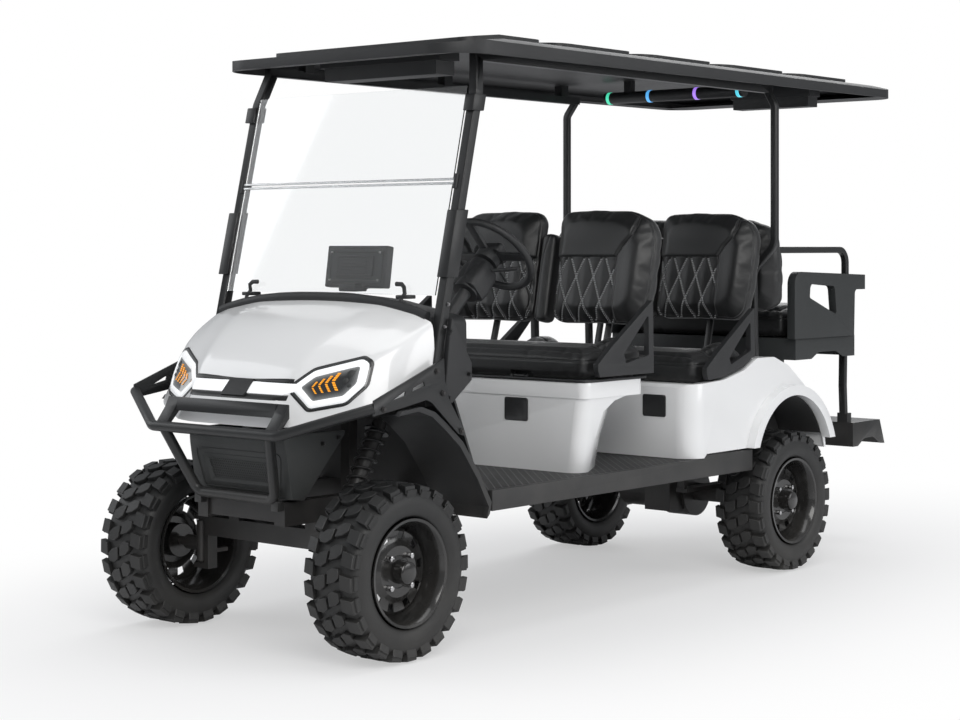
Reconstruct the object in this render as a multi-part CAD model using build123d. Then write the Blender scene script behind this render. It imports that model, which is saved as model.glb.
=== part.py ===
"""Lifted golf cart with two forward seat rows and one rear-facing flip seat.

Millimetres. +X is the driver's (left) side, the cart faces -Y and +Z is up. Heights are above
the ground. Every piece is drawn with y = 0 at the front axle, and save() shifts all of them so
that the origin is the middle of the cart's footprint.
"""
from build123d import *
import os
from math import cos, sin, radians

os.makedirs("parts", exist_ok=True)

# ---- driving dimensions ----
WHEELBASE = 2405
TRACK_HALF = 513          # wheel centre plane from the middle
TYRE_R = 295
TYRE_HALF_WIDTH = 113
LUG_COUNT = 24            # tread lugs on each side of a tyre
RIM_R = 165               # barrel, outside
LIP_R = 179
WALL = 5                  # moulded body panels

FRONT_END = -327          # front of the brush guard
REAR_END = 3397           # back of the footplate
Y_MID = (FRONT_END + REAR_END) / 2

BODY_HALF = 587           # sills and rear body sides
FLOOR_TOP = 518
ROW_PITCH = 724           # first to second seat row
SECOND_ROW_DROP = 48      # the second cushion sits lower than the first

KINGPIN_X = 400
BEAM_Z = (334, 402)
RAIL_X = (165, 215)
RAIL_Z = (430, 510)

POST_X = 543              # front posts, middle
POST_SIDE = 38
POST_LEAN = 0.237         # run back for each unit of height
POST_FOOT = (170, 862)    # y, z of the post's middle at its foot
POST_TOP_Z = 2020

DECK = (2620, 3132, 872, 965)     # rear deck: y, y, z, z

STEER_HUB = (300, 785, 1336)
STEER_TILT = 43.5         # wheel's axis above the horizontal
STEER_R = 165
PIN_R = 3                 # seat hinges
PIN_SLACK = 0.05
BARREL_R = 6
HINGE_X = (-220, 220)
SEAT_AXIS = (1056, 873)   # y, z of the first row's hinge


# ---- drawing helpers ----
def outline(rows):
    """Closed face from rows of (across, up) or (across, up, corner radius)."""
    corners = [(row[0], row[1]) for row in rows]
    radii = [row[2] if len(row) > 2 else 0 for row in rows]
    return make_face(FilletPolyline(*corners, radius=radii, close=True))


def prism(plane, start, end, face):
    """Extrude a face along a plane's axis, between two distances from the origin."""
    placed = plane.offset(start) * face
    return extrude(placed, end - start, dir=plane.z_dir)


def grown(rows, grow):
    face = outline(rows)
    return offset(face, grow, kind=Kind.INTERSECTION) if grow else face


def along_x(rows, x0, x1, grow=0):
    """Prism with its outline in (y, z), grown outwards by grow."""
    return prism(Plane.YZ, x0, x1, grown(rows, grow))


def along_y(rows, y0, y1, grow=0):
    """Prism with its outline in (x, z), grown outwards by grow."""
    return prism(Plane.XZ, -y1, -y0, grown(rows, grow))


def along_z(rows, z0, z1, grow=0):
    """Prism with its outline in (x, y), grown outwards by grow."""
    return prism(Plane.XY, z0, z1, grown(rows, grow))


def block(x0, x1, y0, y1, z0, z1):
    return Pos((x0 + x1) / 2, (y0 + y1) / 2, (z0 + z1) / 2) * Box(x1 - x0, y1 - y0, z1 - z0)


def rod(start, end, radius):
    """Straight round bar from start to end."""
    run = Vector(*end) - Vector(*start)
    return extrude(Plane(origin=start, z_dir=run) * Circle(radius), run.length)


def bar(start, end, width, depth, x_dir=(1, 0, 0)):
    """Straight rectangular bar; width lies along x_dir."""
    run = Vector(*end) - Vector(*start)
    return extrude(Plane(origin=start, x_dir=x_dir, z_dir=run) * Rectangle(width, depth), run.length)


def bent(points, bend, section):
    """Sweep a section along straight runs joined by arcs."""
    path = FilletPolyline(*points, radius=bend)
    return sweep(Plane(origin=path @ 0, x_dir=section[1], z_dir=path % 0) * section[0], path=path)


def twins(shape):
    """The shape and its mirror image on the other side of the cart."""
    return [shape, mirror(shape, Plane.YZ)]


def save(name, *shapes):
    solids = []
    for shape in shapes:
        for one in shape if isinstance(shape, (list, tuple)) else [shape]:
            solids += one.solids()
    moved = [Pos(0, -Y_MID, 0) * solid for solid in solids]
    export_step(Compound(moved) if len(moved) > 1 else moved[0], f"parts/{name}.step")


def hinge_ears(x, axis, foot):
    """Two ears on a foot and the pin between them, for a barrel 50 mm long at x."""
    y, z = axis
    ears = rod((x - 40, y, z), (x + 40, y, z), PIN_R)
    for ear_x in (x - 37, x + 37):
        ears += block(ear_x - 4, ear_x + 4, min(y, foot[0]) - 6, max(y, foot[0]) + 6,
                      foot[1], z + 6)
    return ears


def hinge_barrel(shape, x, axis, reach):
    """Add a barrel on a leaf to a seat, with the bore for the pin."""
    y, z = axis
    shape += rod((x - 25, y, z), (x + 25, y, z), BARREL_R)
    shape += block(x - 25, x + 25, *sorted((y, reach)), z - 2, z + 2)
    return shape - rod((x - 30, y, z), (x + 30, y, z), PIN_R + PIN_SLACK)


def post_y(z):
    """Middle of the front post at a height."""
    return POST_FOOT[0] + (z - POST_FOOT[1]) * POST_LEAN


# ---- ladder frame ----
FRAME_Y = (-184, 3020)
rails = block(RAIL_X[0], RAIL_X[1], *FRAME_Y, *RAIL_Z)
frame = rails + mirror(rails, Plane.YZ)
for cross_y in (-150, 560, 1040, 1600, 2130, 2700, 2995):
    frame += block(-RAIL_X[1], RAIL_X[1], cross_y - 25, cross_y + 25, 440, 500)
for outrigger_y in (560, 1040, 1600, 2090):
    frame += block(-565, 565, outrigger_y - 20, outrigger_y + 20, 470, 510)
save("frame", frame)

# ---- uprights welded to the frame ----
# front tower that carries the cowl, the dash and the post feet
tower = block(-562, 562, 130, 170, 830, 862)
for x in (-190, 190):
    tower += block(x - 20, x + 20, 130, 170, RAIL_Z[1], 832)
uprights = [tower]
# legs below the rear deck
for x in (-190, 190):
    for y in (2736, 2970):
        uprights.append(block(x - 20, x + 20, y - 18, y + 18, RAIL_Z[1], DECK[3] - WALL))
# brackets that hold the front shocks
for side in (-1, 1):
    uprights[0] += block(*sorted((side * 268, side * 302)), 165, 238, 772, 862)
save("frame_uprights", uprights)

# ---- floor and toe board, one bent sheet ----
floor = along_x([(425, 510), (1760, 510), (1760, FLOOR_TOP), (430, FLOOR_TOP), (270, 884),
                 (262, 881)], -560, 560)
for x in (-190, 190):
    floor -= block(x - 22, x + 22, 120, 172, 480, 868)
save("floor_pan", floor)

SILL_ROWS = [(452, 449), (452, 522), (1770, 522), (1788, 536), (2125, 532), (2125, 446)]
save("sills", twins(along_x(SILL_ROWS, 565, BODY_HALF)))

# ---- front cowl: one shell over ribs that run across the body ----
HOOD_TOP = 1182
COWL_BACK = 198
# each rib: y, then (x, z) of the crown, the crease, the shoulder, the side and the lower edge
COWL_RIBS = [(-238, (0, 846), (196, 843), (214, 832), (232, 806), (258, 768)),
             (-205, (0, 869), (218, 867), (230, 852), (262, 822), (312, 772)),
             (-172, (0, 906), (225, 905), (242, 892), (296, 850), (382, 785)),
             (-140, (0, 968), (236, 966), (284, 930), (354, 896), (446, 798)),
             (-100, (0, 1015), (246, 1004), (312, 974), (408, 936), (500, 815)),
             (-40, (0, 1071), (256, 1054), (362, 1018), (462, 986), (542, 835)),
             (15, (0, 1109), (272, 1091), (402, 1054), (505, 1019), (560, 848)),
             (95, (0, 1148), (292, 1130), (442, 1096), (533, 1062), (564, 866)),
             (COWL_BACK, (0, HOOD_TOP), (302, 1168), (472, 1138), (551, 1112), (564, 900))]
RIB_LEAN = [(0, 1), (0.3, 1), (0.6, 0.8), (0.9, 0.5), (1, 0.1)]     # outward way at each point


def envelope(grow, open_down=0):
    """Front body's outer form, grown outwards by grow, its underside moved down."""
    faces = []
    for y, *points in COWL_RIBS:
        side = [(x + grow * ax * (x > 0), z + grow * az)
                for (x, z), (ax, az) in zip(points, RIB_LEAN)]
        side[-1] = (side[-1][0], points[-1][1] - open_down)
        ring = side + [(-x, z) for x, z in reversed(side[1:])]
        end = -grow if y == COWL_RIBS[0][0] else 0
        if y == COWL_BACK:
            end = 1 if grow else 0
        faces.append(Plane.XZ.offset(-y - end) * make_face(Polyline(*ring, close=True)))
    return loft(faces, ruled=True)


outer = envelope(0)
cowl = outer - envelope(-WALL, 30)
# the rear corners are notched for the posts
for side_x in ((POST_X - POST_SIDE / 2 - 2, 600), (-600, -POST_X + POST_SIDE / 2 + 2)):
    cowl -= along_x([(post_y(860) - 22, 860), (post_y(1140) - 22, 1140), (260, 1140), (260, 860)], *side_x)

# lamp and light-bar windows, drawn in (x, z) as seen from the front
LAMP_ROWS = [(222, 893), (292, 958, 20), (440, 1000, 25), (470, 985, 20), (478, 905, 25),
             (440, 845, 25), (318, 822, 15)]
BAND_ROWS = [(-232, 868), (232, 868), (252, 905), (-252, 905)]


def skin(rows, y0, y1, grow, deep):
    """Piece of the body's skin inside an outline, from deep inside it to grow outside."""
    return along_y(rows, y0, y1) & (envelope(grow) - envelope(-deep, 30))


lamp = skin(LAMP_ROWS, -400, 140, 2, 14).solids().sort_by(SortBy.VOLUME)[-1]
lamp_cut = along_y(LAMP_ROWS, -400, 140)
band = skin(BAND_ROWS, -400, -100, 2, 14) - lamp_cut - mirror(lamp_cut, Plane.YZ)
cowl = cowl - lamp_cut - mirror(lamp_cut, Plane.YZ) - along_y(BAND_ROWS, -400, -100)
save("front_cowl", cowl)
save("headlamps", twins(lamp))
save("light_bar", band)

# ---- dark lower front panel with its grille ----
PANEL_SIDE = [(-207, 711), (-172, 520), (-120, 514), (60, 725), (60, 738), (-200, 738)]
PANEL_PLAN = [(-236, -212, 15), (236, -212, 15), (258, 80), (-258, 80)]
PANEL_CORE = [(-229, -205), (229, -205), (251, 90), (-251, 90)]
panel = along_x(PANEL_SIDE, -262, 262) & along_z(PANEL_PLAN, 480, 760)
hollow = Pos(0, 6, 4) * (along_x(PANEL_SIDE, -262, 262) & along_z(PANEL_CORE, 480, 760))
panel = panel - hollow - Pos(0, 20, 10) * hollow
panel -= along_y([(-150, 560), (150, 560), (172, 650), (-172, 650)], -260, -150)
# the grille's sheet lies behind the panel's window
panel += along_y([(-155, 555), (155, 555), (178, 655), (-178, 655)], -260, 0) & along_x(
    [(-201, 711), (-166, 520), (-160, 520), (-195, 711)], -262, 262)
save("front_panel", panel)

# ---- dash: hollow moulding behind the cowl ----
DASH_SIDE = [(208, 900), (208, 1198), (300, 1204, 20), (395, 1130, 30), (402, 960, 20), (350, 890)]
DASH_FRONT = [(-512, 880), (512, 880), (516, 1120, 30), (280, 1180, 400), (0, 1204, 900),
              (-280, 1180, 400), (-516, 1120, 30)]
dash = along_x(DASH_SIDE, -540, 540) & along_y(DASH_FRONT, 150, 450)
dash_core = along_x(DASH_SIDE, -515, 515, -WALL) & along_y(DASH_FRONT, 150, 450, -WALL)
dash = dash - dash_core - Pos(0, 0, -15) * dash_core - Pos(0, -12, -15) * dash_core
save("dashboard", dash)

screen = Pos(68, 330, 1292) * (Rot(X=-8) * Box(296, 34, 150))
screen += block(30, 110, 262, 330, 1205, 1235)
save("display", screen)

# ---- canopy frame: front posts, rear posts and the rails under the roof ----
REAR_POST = (552, 2352)   # x, y of the straight length
RAIL_TOP_X = 513
POST_SECTION = (RectangleRounded(POST_SIDE, POST_SIDE, 6), (1, 0, 0))
REAR_SECTION = (RectangleRounded(30, 30, 8), (1, 0, 0))

foot = (POST_X, POST_FOOT[0], POST_FOOT[1])
kink = (POST_X, post_y(1900), 1900)
tip = (RAIL_TOP_X, post_y(POST_TOP_Z) + 8, POST_TOP_Z)
canopy = bent([foot, kink, tip], 60, POST_SECTION)
canopy += bent([(440, 2372, 888), (440, 2362, 1262), (REAR_POST[0], REAR_POST[1], 1372),
                (REAR_POST[0], REAR_POST[1], 1960), (RAIL_TOP_X, REAR_POST[1] + 8, POST_TOP_Z)],
               [60, 60, 40], REAR_SECTION)
canopy += block(RAIL_TOP_X - 15, RAIL_TOP_X + 15, post_y(POST_TOP_Z) - 12, REAR_POST[1] + 26,
                POST_TOP_Z - 6, POST_TOP_Z + 26)

# two panes hinged in the middle, in line with the posts' front faces
PANE_HALF = 518
pane_rows = [(1200, 1583), (1598, 1925)]
panes = []
for low, high in pane_rows:
    ahead = POST_SIDE / 2 - 4
    panes.append(along_x([(post_y(low) - ahead - 6, low), (post_y(low) - ahead, low),
                          (post_y(high) - ahead, high), (post_y(high) - ahead - 6, high)],
                         -PANE_HALF, PANE_HALF))
save("windshield", panes)

clips = []
for low, high in [(1262, 1492), (1835, 1893)]:
    sleeve = along_x([(post_y(low) - 34, low), (post_y(low) + 27, low), (post_y(high) + 27, high),
                      (post_y(high) - 34, high)], POST_X - 19, POST_X + 27)
    sleeve -= along_x([(post_y(low) - 21, low - 1), (post_y(low) + 21, low - 1),
                       (post_y(high) + 21, high + 1), (post_y(high) - 21, high + 1)],
                      POST_X - 30, POST_X + 20)
    clips += twins(sleeve)
clip = block(362, 408, 200, 255, 1186, 1199)
clips += twins(clip)
save("windshield_clips", clips)

# ---- roof ----
ROOF_Y = (250, 3315)
ROOF_HALF = 617
ROOF_PLAN = [(-ROOF_HALF, ROOF_Y[0], 170), (ROOF_HALF, ROOF_Y[0], 170),
             (ROOF_HALF, ROOF_Y[1], 130), (-ROOF_HALF, ROOF_Y[1], 130)]
ROOF_SIDE = [(200, 2026), (3400, 2040), (3400, 2060), (3050, 2112, 300), (1900, 2130, 900),
             (700, 2112, 500), (200, 2055)]
ROOF_FRONT = [(-650, 2000), (650, 2000), (650, 2062), (560, 2096, 120), (0, 2132, 900),
              (-560, 2096, 120), (-650, 2062)]


def roof_form(grow):
    return (along_z(ROOF_PLAN, 1900, 2300, grow) & along_x(ROOF_SIDE, -900, 900, grow)
            & along_y(ROOF_FRONT, 0, 3600, grow))


# raised pads across the roof: y from, y to
ROOF_PADS = [(430, 860), (950, 1420), (1510, 1980), (2070, 2540), (2630, 3080)]
PAD_RISE = 18
roof = roof_form(0)
for y0, y1 in ROOF_PADS:
    pad = along_z([(-500, y0, 60), (500, y0, 60), (500, y1, 60), (-500, y1, 60)], 2040, 2200)
    roof += pad & Pos(0, 0, PAD_RISE) * roof_form(0)
roof_core = roof_form(-8)
roof = roof - roof_core - Pos(0, 0, -30) * roof_core
save("roof", roof)

# feet between the canopy rails and the roof's skin
for y in (640, 1460, 2260):
    canopy += block(RAIL_TOP_X - 20, RAIL_TOP_X + 20, y - 25, y + 25, POST_TOP_Z + 20, 2200) & roof_core
save("canopy_frame", twins(canopy))

# ---- speaker bar and pods that hang from the roof ----
SPEAKER_Y = 2406
speakers = rod((-370, SPEAKER_Y, 2036), (370, SPEAKER_Y, 2036), 26)
for x in (-240, 240):
    speakers += block(x - 20, x + 20, SPEAKER_Y - 15, SPEAKER_Y + 15, 2040, 2200) & roof_core
front_pod = block(-300, 300, 500, 610, 1985, 2200) & roof_core
rear_pod = block(-60, 360, 2960, 3050, 2000, 2200) & roof_core
front_pod += block(-280, 280, 505, 605, 1985, 2060)
rear_pod += block(-50, 350, 2965, 3045, 2000, 2060)
save("roof_pods", speakers, front_pod, rear_pod)

# ---- front seat box: hollow white pod below the first row ----
POD_FRONT = 1032
# each row: height, half width in front, where the side turns in, half width behind, back
POD_ROWS = [(FLOOR_TOP, 508, 1105, 420, 1262),
            (640, 522, 1126, 430, 1284),
            (744, 538, 1160, 442, 1322),
            (784, 545, 1222, 452, 1352),
            (802, 549, 1300, 470, 1392)]


def pod_form(grow, lower=0):
    """Seat box walls through the rows above."""
    faces = []
    for z, half, turn, rear_half, back in POD_ROWS:
        rows = [(-half, POD_FRONT, 50), (half, POD_FRONT, 50), (half, turn), (rear_half, back),
                (-rear_half, back), (-half, turn)]
        faces.append(Plane.XY.offset(z + (z - 700) * lower * 0.01) * grown(rows, grow))
    return loft(faces, ruled=True)


pod = pod_form(0) - pod_form(-WALL, 1)
TRAY_PLAN = [(-552, POD_FRONT - 4, 40), (552, POD_FRONT - 4, 40), (552, 1410, 40), (-552, 1410, 40)]
ledge = along_z(TRAY_PLAN, 800, 862)
ledge -= along_z(TRAY_PLAN, 806, 866, -WALL)
ledge -= along_z(TRAY_PLAN, 790, 820, -60)
pod += ledge
for x in HINGE_X:
    pod += block(x - 41, x + 41, POD_FRONT - 2, SEAT_AXIS[0] + 6, 852, 861)    # shelf of the ears
    pod += hinge_ears(x, SEAT_AXIS, (SEAT_AXIS[0], 860))
save("front_seat_box", pod)

# ---- rear body: sides, fenders and the second row's seat box ----
ARCH = (2405, 440, 300)   # y, z, radius
BODY_SIDE = [(1682, 524), (1682, 806), (1694, 818), (1909, 828, 200), (2066, 861, 100), (2160, 905, 60),
             (2290, 905, 60), (2403, 865, 120), (2526, 782, 120), (2634, 692, 150),
             (2700, 592, 60), (2712, 497), (2200, 497), (2130, 540), (1786, 540), (1768, 524)]
BODY_PLAN = [(-BODY_HALF, 1682, 85), (BODY_HALF, 1682, 85), (BODY_HALF, 2740), (-BODY_HALF, 2740)]
SEAT_BASE_Z = 812
body = along_x(BODY_SIDE, -700, 700) & along_z(BODY_PLAN, 400, 1000)
body_shape = body
body_core = along_x(BODY_SIDE, -700, 700, -WALL) & along_z(BODY_PLAN, 400, 1000, -WALL)
underside = along_x([(1692, 400), (1692, 560), (2694, 560), (2704, 470), (2704, 400)], -700, 700)
body = body - body_core - (underside & along_z(BODY_PLAN, 400, 600, -WALL))
# the second row's cushion drops into a well; behind it the middle is open above
body -= block(-546, 546, 1745, 2190, 700, 1000)
body -= block(-330, 330, 2190, 2800, 640, 1000)
well = block(-551, 551, 1740, 2195, SEAT_BASE_Z - WALL, 1000) & body_shape
body += well - block(-546, 546, 1745, 2190, SEAT_BASE_Z, 1000)
second_axis = (SEAT_AXIS[0] + ROW_PITCH, SEAT_AXIS[1] - SECOND_ROW_DROP)
for x in HINGE_X:
    body += hinge_ears(x, second_axis, (second_axis[0], SEAT_BASE_Z - 2))
arch_cut = Pos(0, ARCH[0], ARCH[1]) * (Rot(Y=90) * Cylinder(ARCH[2], 1400))
body -= arch_cut
body -= block(-230, 230, 2600, 2800, 480, 516)    # clears the frame
body -= block(-700, 700, ARCH[0] - ARCH[2], ARCH[0] + ARCH[2] + 60, 300, ARCH[1] + 40)
flare = Pos(603, ARCH[0], ARCH[1]) * (Rot(Y=90) * (Cylinder(ARCH[2] + 42, 42) - Cylinder(ARCH[2], 42)))
flare -= block(500, 700, 2000, 2800, 0, 541)
body += flare
body += mirror(flare, Plane.YZ)
save("rear_body", body)
tail_lamp = along_x([(2655, 669), (2693, 611), (2701, 617), (2663, 675)], 395, 470)
save("tail_lamps", twins(tail_lamp))

# ---- cushions, backs and hip restraints, one set for each forward row ----
CUSHION_Y = (1050, 1440)
CUSHION_Z = (868, 974)
BACK_LEAN = 11
BACK_SIZES = [(42, 528, 462), (-528, -42, 462), (-42, 42, 372)]     # x, x, height
HIP_TOP = [(1073, 905), (1073, 928, 8), (1150, 985, 60), (1360, 1120, 120), (1425, 1162, 4)]
# each row: name, back by, cushion up by, back rest up by, hip restraint's lower edge, its window
ROWS = [("front", 0, 0, 0, [(1430, 880), (1085, 880)],
         [(1250, 925, 8), (1236, 962, 8), (1395, 1105, 6), (1398, 950, 8)]),
        ("middle", ROW_PITCH, -SECOND_ROW_DROP, -2, [(1430, 966), (1342, 921), (1190, 886), (1085, 880)],
         [(1250, 935, 8), (1236, 962, 8), (1395, 1105, 6), (1398, 985, 8)])]
# the struts' feet: y, y, z, z
STRUT_FEET = {"front": [(1408, 1490, 840, 860), (1470, 1490, 850, 880)],
              "middle": [(2192, 2214, 818, 842)]}
all_backs = []
all_struts = []
for name, back, up, back_up, hip_bottom, hip_window in ROWS:
    place = Pos(0, back, up)
    back_place = Pos(0, back, back_up)
    cushion = along_z([(-535, CUSHION_Y[0], 45), (535, CUSHION_Y[0], 45),
                       (535, CUSHION_Y[1], 45), (-535, CUSHION_Y[1], 45)], *CUSHION_Z)
    cushion = fillet(cushion.faces().sort_by(Axis.Z)[-1].edges(), 18)
    for x in HINGE_X:
        cushion -= block(x - 48, x + 48, CUSHION_Y[0] - 1, SEAT_AXIS[0] + 16,
                         CUSHION_Z[0] - 1, SEAT_AXIS[1] + 15)
        cushion = hinge_barrel(cushion, x, SEAT_AXIS, SEAT_AXIS[0] + 20)
    save(f"{name}_seat_cushion", place * cushion)
    hip = along_x(HIP_TOP + hip_bottom, 556, 580) - along_x(hip_window, 550, 590)
    hip += block(536, 557, 1110, 1240, 900, 925)
    save(f"{name}_hip_restraints", [place * one for one in twins(hip)])
    for x0, x1, height in BACK_SIZES:
        slab = extrude(RectangleRounded(x1 - x0, height, min((x1 - x0) * 0.3, 90)), 95)
        lean = Pos((x0 + x1) / 2, 1432, 1062) * Rot(X=-BACK_LEAN) * Pos(0, 95, height / 2) * Rot(X=90)
        all_backs.append(back_place * lean * slab)
    # each strut stands on a foot against the white body, and a head carries the back
    carrier = pod if name == "front" else body
    row_backs = all_backs[-len(BACK_SIZES):]
    for x in (-290, 290):
        strut = back_place * bar((x, 1479, 864 - back_up + up), (x, 1564, 1150), 30, 8)
        strut += back_place * block(x - 15, x + 15, 1528, 1556, 1070, 1110)
        for y0, y1, z0, z1 in STRUT_FEET[name]:
            strut += block(x - 15, x + 15, y0, y1, z0, z1)
        strut -= carrier
        for one in row_backs:
            strut -= one
        all_struts.append(strut)
save("seat_backs", all_backs)
save("seat_struts", all_struts)

# ---- rear deck, its seat, armrests and rails ----
DECK_HALF = 492
FLIP_AXIS = (3143, 971)   # y, z of the rear seat's hinge
deck = block(-DECK_HALF, DECK_HALF, *DECK)
deck -= block(-DECK_HALF + WALL, DECK_HALF - WALL, DECK[0] + WALL, DECK[1] - WALL, 800, DECK[3] - WALL)
deck -= along_x([(2755, 800), (3030, 800), (3030, 872), (2970, 900, 60), (2815, 900, 60), (2755, 872)],
                -600, 600)
for x in HINGE_X:
    deck += hinge_ears(x, FLIP_AXIS, (DECK[1] - 10, DECK[3] - 29))
save("rear_deck", deck)

rear_cushion = along_z([(-428, 2625, 45), (428, 2625, 45), (428, 3090, 45), (-428, 3090, 45)], 971, 1094)
rear_cushion = fillet(rear_cushion.faces().sort_by(Axis.Z)[-1].edges(), 20)
for x in HINGE_X:
    rear_cushion = hinge_barrel(rear_cushion, x, FLIP_AXIS, 3080)
save("rear_seat_cushion", rear_cushion)

rear_backs = []
for x0, x1 in [(20, 500), (-500, -20)]:
    slab = extrude(RectangleRounded(x1 - x0, 400, 80), 100)
    rear_backs.append(Pos((x0 + x1) / 2, 2560, 1095) * Rot(X=9) * Pos(0, 0, 200) * Rot(X=90) * slab)
save("rear_seat_backs", rear_backs)

ARM_ROWS = [(2588, 965), (2588, 1258, 55), (3201, 1238), (3201, 1172), (3109, 1172, 20), (3102, 965)]
ARM_WINDOW = [(2714, 1142, 10), (2720, 1204, 25), (2929, 1190, 25), (2946, 1062, 10)]
armrest = along_x(ARM_ROWS, 470, 508) - along_x(ARM_WINDOW, 400, 600)
save("rear_armrests", twins(armrest))

rail = bent([(455, 2505, 1351), (455, 3112, 1351), (455, 3112, 965)], 60,
            (RectangleRounded(28, 28, 6), (1, 0, 0)))
rail -= rear_backs[0]    # the rail's front end meets the back of the seat
save("rear_grab_rails", twins(rail))

# ---- footplate ----
STEP_ROWS = [(3104, 459), (3104, 568), (3352, 568), (3397, 455), (3360, 458), (3300, 492, 60),
             (3210, 492, 60), (3150, 459)]
step = along_x(STEP_ROWS, -500, 500)
step -= along_x([(3109, 400), (3109, 563), (3347, 563), (3390, 400)], -495, 495)
for x in (-445, 445):
    step += bar((x, 3118, 566), (x, 3108, 735), 30, 24)
    step += bar((x, 3108, 728), (x, 3114, DECK[3] - WALL - 1), 30, 24)
    step += block(x - 26, x + 26, 3104, 3140, 566, 610)
# arms that carry the footplate from the frame
for x in (-190, 190):
    step += block(x - 25, x + 25, FRAME_Y[1], 3106, 470, 510)
save("footplate", step)

# ---- brush guard ----
guard_path = [(592, -150, 843), (310, -309, 747), (-310, -309, 747), (-592, -150, 843)]
guard = bent(guard_path, 45, (Circle(18), (0, 0, 1)))
hoop = bent([(262, -300, 745), (190, -205, 520), (-190, -205, 520), (-262, -300, 745)], 40,
            (Circle(18), (1, 0, 0)))
guard += hoop
for x in (-190, 190):
    guard += block(x - 16, x + 16, -208, FRAME_Y[0], 482, 516)
guard += along_x([(-262, 800), (-252, 846), (-244, 846), (-244, 806)], -244, 244)
for x in (-244, 244):
    guard += along_x([(-308, 752), (-262, 812), (-246, 846), (-243, 842), (-243, 800), (-296, 744)],
                     *sorted((x, x * 1.22)))
# side plates with two slots each, bolted to the posts
PLATE_ROWS = [(-155, 868), (188, 990), (193, 914, 20), (213, 853), (296, 736), (296, 722, 6),
              (262, 732), (127, 845, 20), (100, 856), (-31, 835), (-157, 818)]
SLOTS = [[(-69, 863), (-11, 889), (-2, 889), (-6, 876)],
         [(28, 887), (35, 900), (87, 918), (92, 903)]]
plate = along_x(PLATE_ROWS, 590, 596)
for rows in SLOTS:
    plate -= along_x(rows, 580, 610)
plate += rod((POST_X + POST_SIDE / 2, 186, 930), (592, 186, 930), 12)
for one in twins(plate):
    guard += one
save("brush_guard", guard)

# ---- front wheel liners, flares and leg shields ----
LINER_ROWS = [(-16, 812), (82, 822), (150, 800), (213, 754), (292, 690), (384, 570), (444, 470), (434, 430)]


def band_face(rows, thickness):
    """Face of a strip below open rows: the rows, then the rows moved inwards and down."""
    lower = [(a - thickness * 0.75, b - thickness * 0.75) for a, b in rows]
    return rows + lower[::-1]


liner = along_x(band_face(LINER_ROWS, 6), 325, 572)
flare_rows = [(a + 2, b + 12) for a, b in LINER_ROWS]
liner += along_x(band_face(flare_rows, 20), 568, 589)
ring = Rot(Y=90) * (Cylinder(ARCH[2] - 1, 210) - Cylinder(ARCH[2] - 5, 210))
rear_liner = Pos(476, ARCH[0], ARCH[1]) * ring - block(300, 600, 2000, 2800, 0, 560)
rear_liner += (Pos(373, ARCH[0], ARCH[1]) * (Rot(Y=90) * Cylinder(ARCH[2] - 1, 4))
               - block(300, 600, 2000, 2800, 0, 560))
save("wheel_liners", twins(liner), twins(rear_liner))

SHIELD_ROWS = [(246, 1124), (348, 967), (348, 909), (246, 836), (202, 836), (234, 1070)]
save("leg_shields", twins(along_x(SHIELD_ROWS, 562, 584)))

# ---- steering column ----
tilt = radians(STEER_TILT)
axis = Vector(0, cos(tilt), sin(tilt))
hub = Vector(*STEER_HUB)
column = rod(tuple(hub - axis * 570), tuple(hub - axis * 60), 24)
column -= block(200, 400, 200, 403, 800, 1300)    # ends on the dash
column += rod(tuple(hub - axis * 200), tuple(hub - axis * 62), 48)
column += rod(tuple(hub - axis * 90), tuple(hub - axis * 90 + Vector(150, 40, 12)), 7)
save("steering_column", column)
wheel_plane = Plane(origin=tuple(hub), x_dir=(1, 0, 0), z_dir=tuple(axis))
ring = wheel_plane * Torus(STEER_R, 14)
hub_disc = wheel_plane * (Pos(0, 0, -24) * Cylinder(48, 44))
steer = ring + hub_disc
for angle in (0, 180, 270):
    spoke = Rot(Z=angle) * Pos(100, 0, -10) * Box(130, 34, 10)
    steer += wheel_plane * spoke
save("steering_wheel", steer)

# ---- front axle, knuckles, rear axle ----
KINGPIN_R = 12
KINGPIN_SLACK = 0.05
beam = block(-345, 345, -35, 35, *BEAM_Z)
for side in (-1, 1):
    beam += block(*sorted((side * 345, side * 367)), -22, 22, 210, 402)
    for z0, z1 in ((384, 402), (210, 228)):
        beam += block(*sorted((side * 366, side * 420)), -22, 22, z0, z1)
    beam -= Pos(side * KINGPIN_X, 0, 300) * Cylinder(KINGPIN_R + KINGPIN_SLACK, 300)
    beam += block(*sorted((side * RAIL_X[0], side * RAIL_X[1])), -40, 40, 400, RAIL_Z[0])
save("front_axle", beam)
knuckle = rod((KINGPIN_X, 0, 234), (KINGPIN_X, 0, 378), 20)
knuckle += rod((KINGPIN_X, 0, 206), (KINGPIN_X, 0, 406), KINGPIN_R)
knuckle += rod((KINGPIN_X, 0, TYRE_R), (KINGPIN_X + 75, 0, TYRE_R), 26)
knuckle += rod((KINGPIN_X, 0, TYRE_R), (TRACK_HALF + 20, 0, TYRE_R), 15)
knuckle += block(KINGPIN_X - 10, KINGPIN_X + 10, 0, 115, 256, 270)
save("knuckle_left", knuckle)
save("knuckle_right", mirror(knuckle, Plane.YZ))

drive = rod((-395, WHEELBASE, TYRE_R), (395, WHEELBASE, TYRE_R), 38)
drive += rod((-TRACK_HALF - 20, WHEELBASE, TYRE_R), (TRACK_HALF + 20, WHEELBASE, TYRE_R), 15)
drive += Pos(60, WHEELBASE, TYRE_R) * (Rot(Y=90) * Cylinder(105, 130))
drive += block(-20, 110, WHEELBASE - 190, WHEELBASE, 225, 350)
drive += Pos(-115, WHEELBASE - 20, TYRE_R + 10) * (Rot(Y=90) * Cylinder(90, 210))
save("drive_unit", drive)

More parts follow.
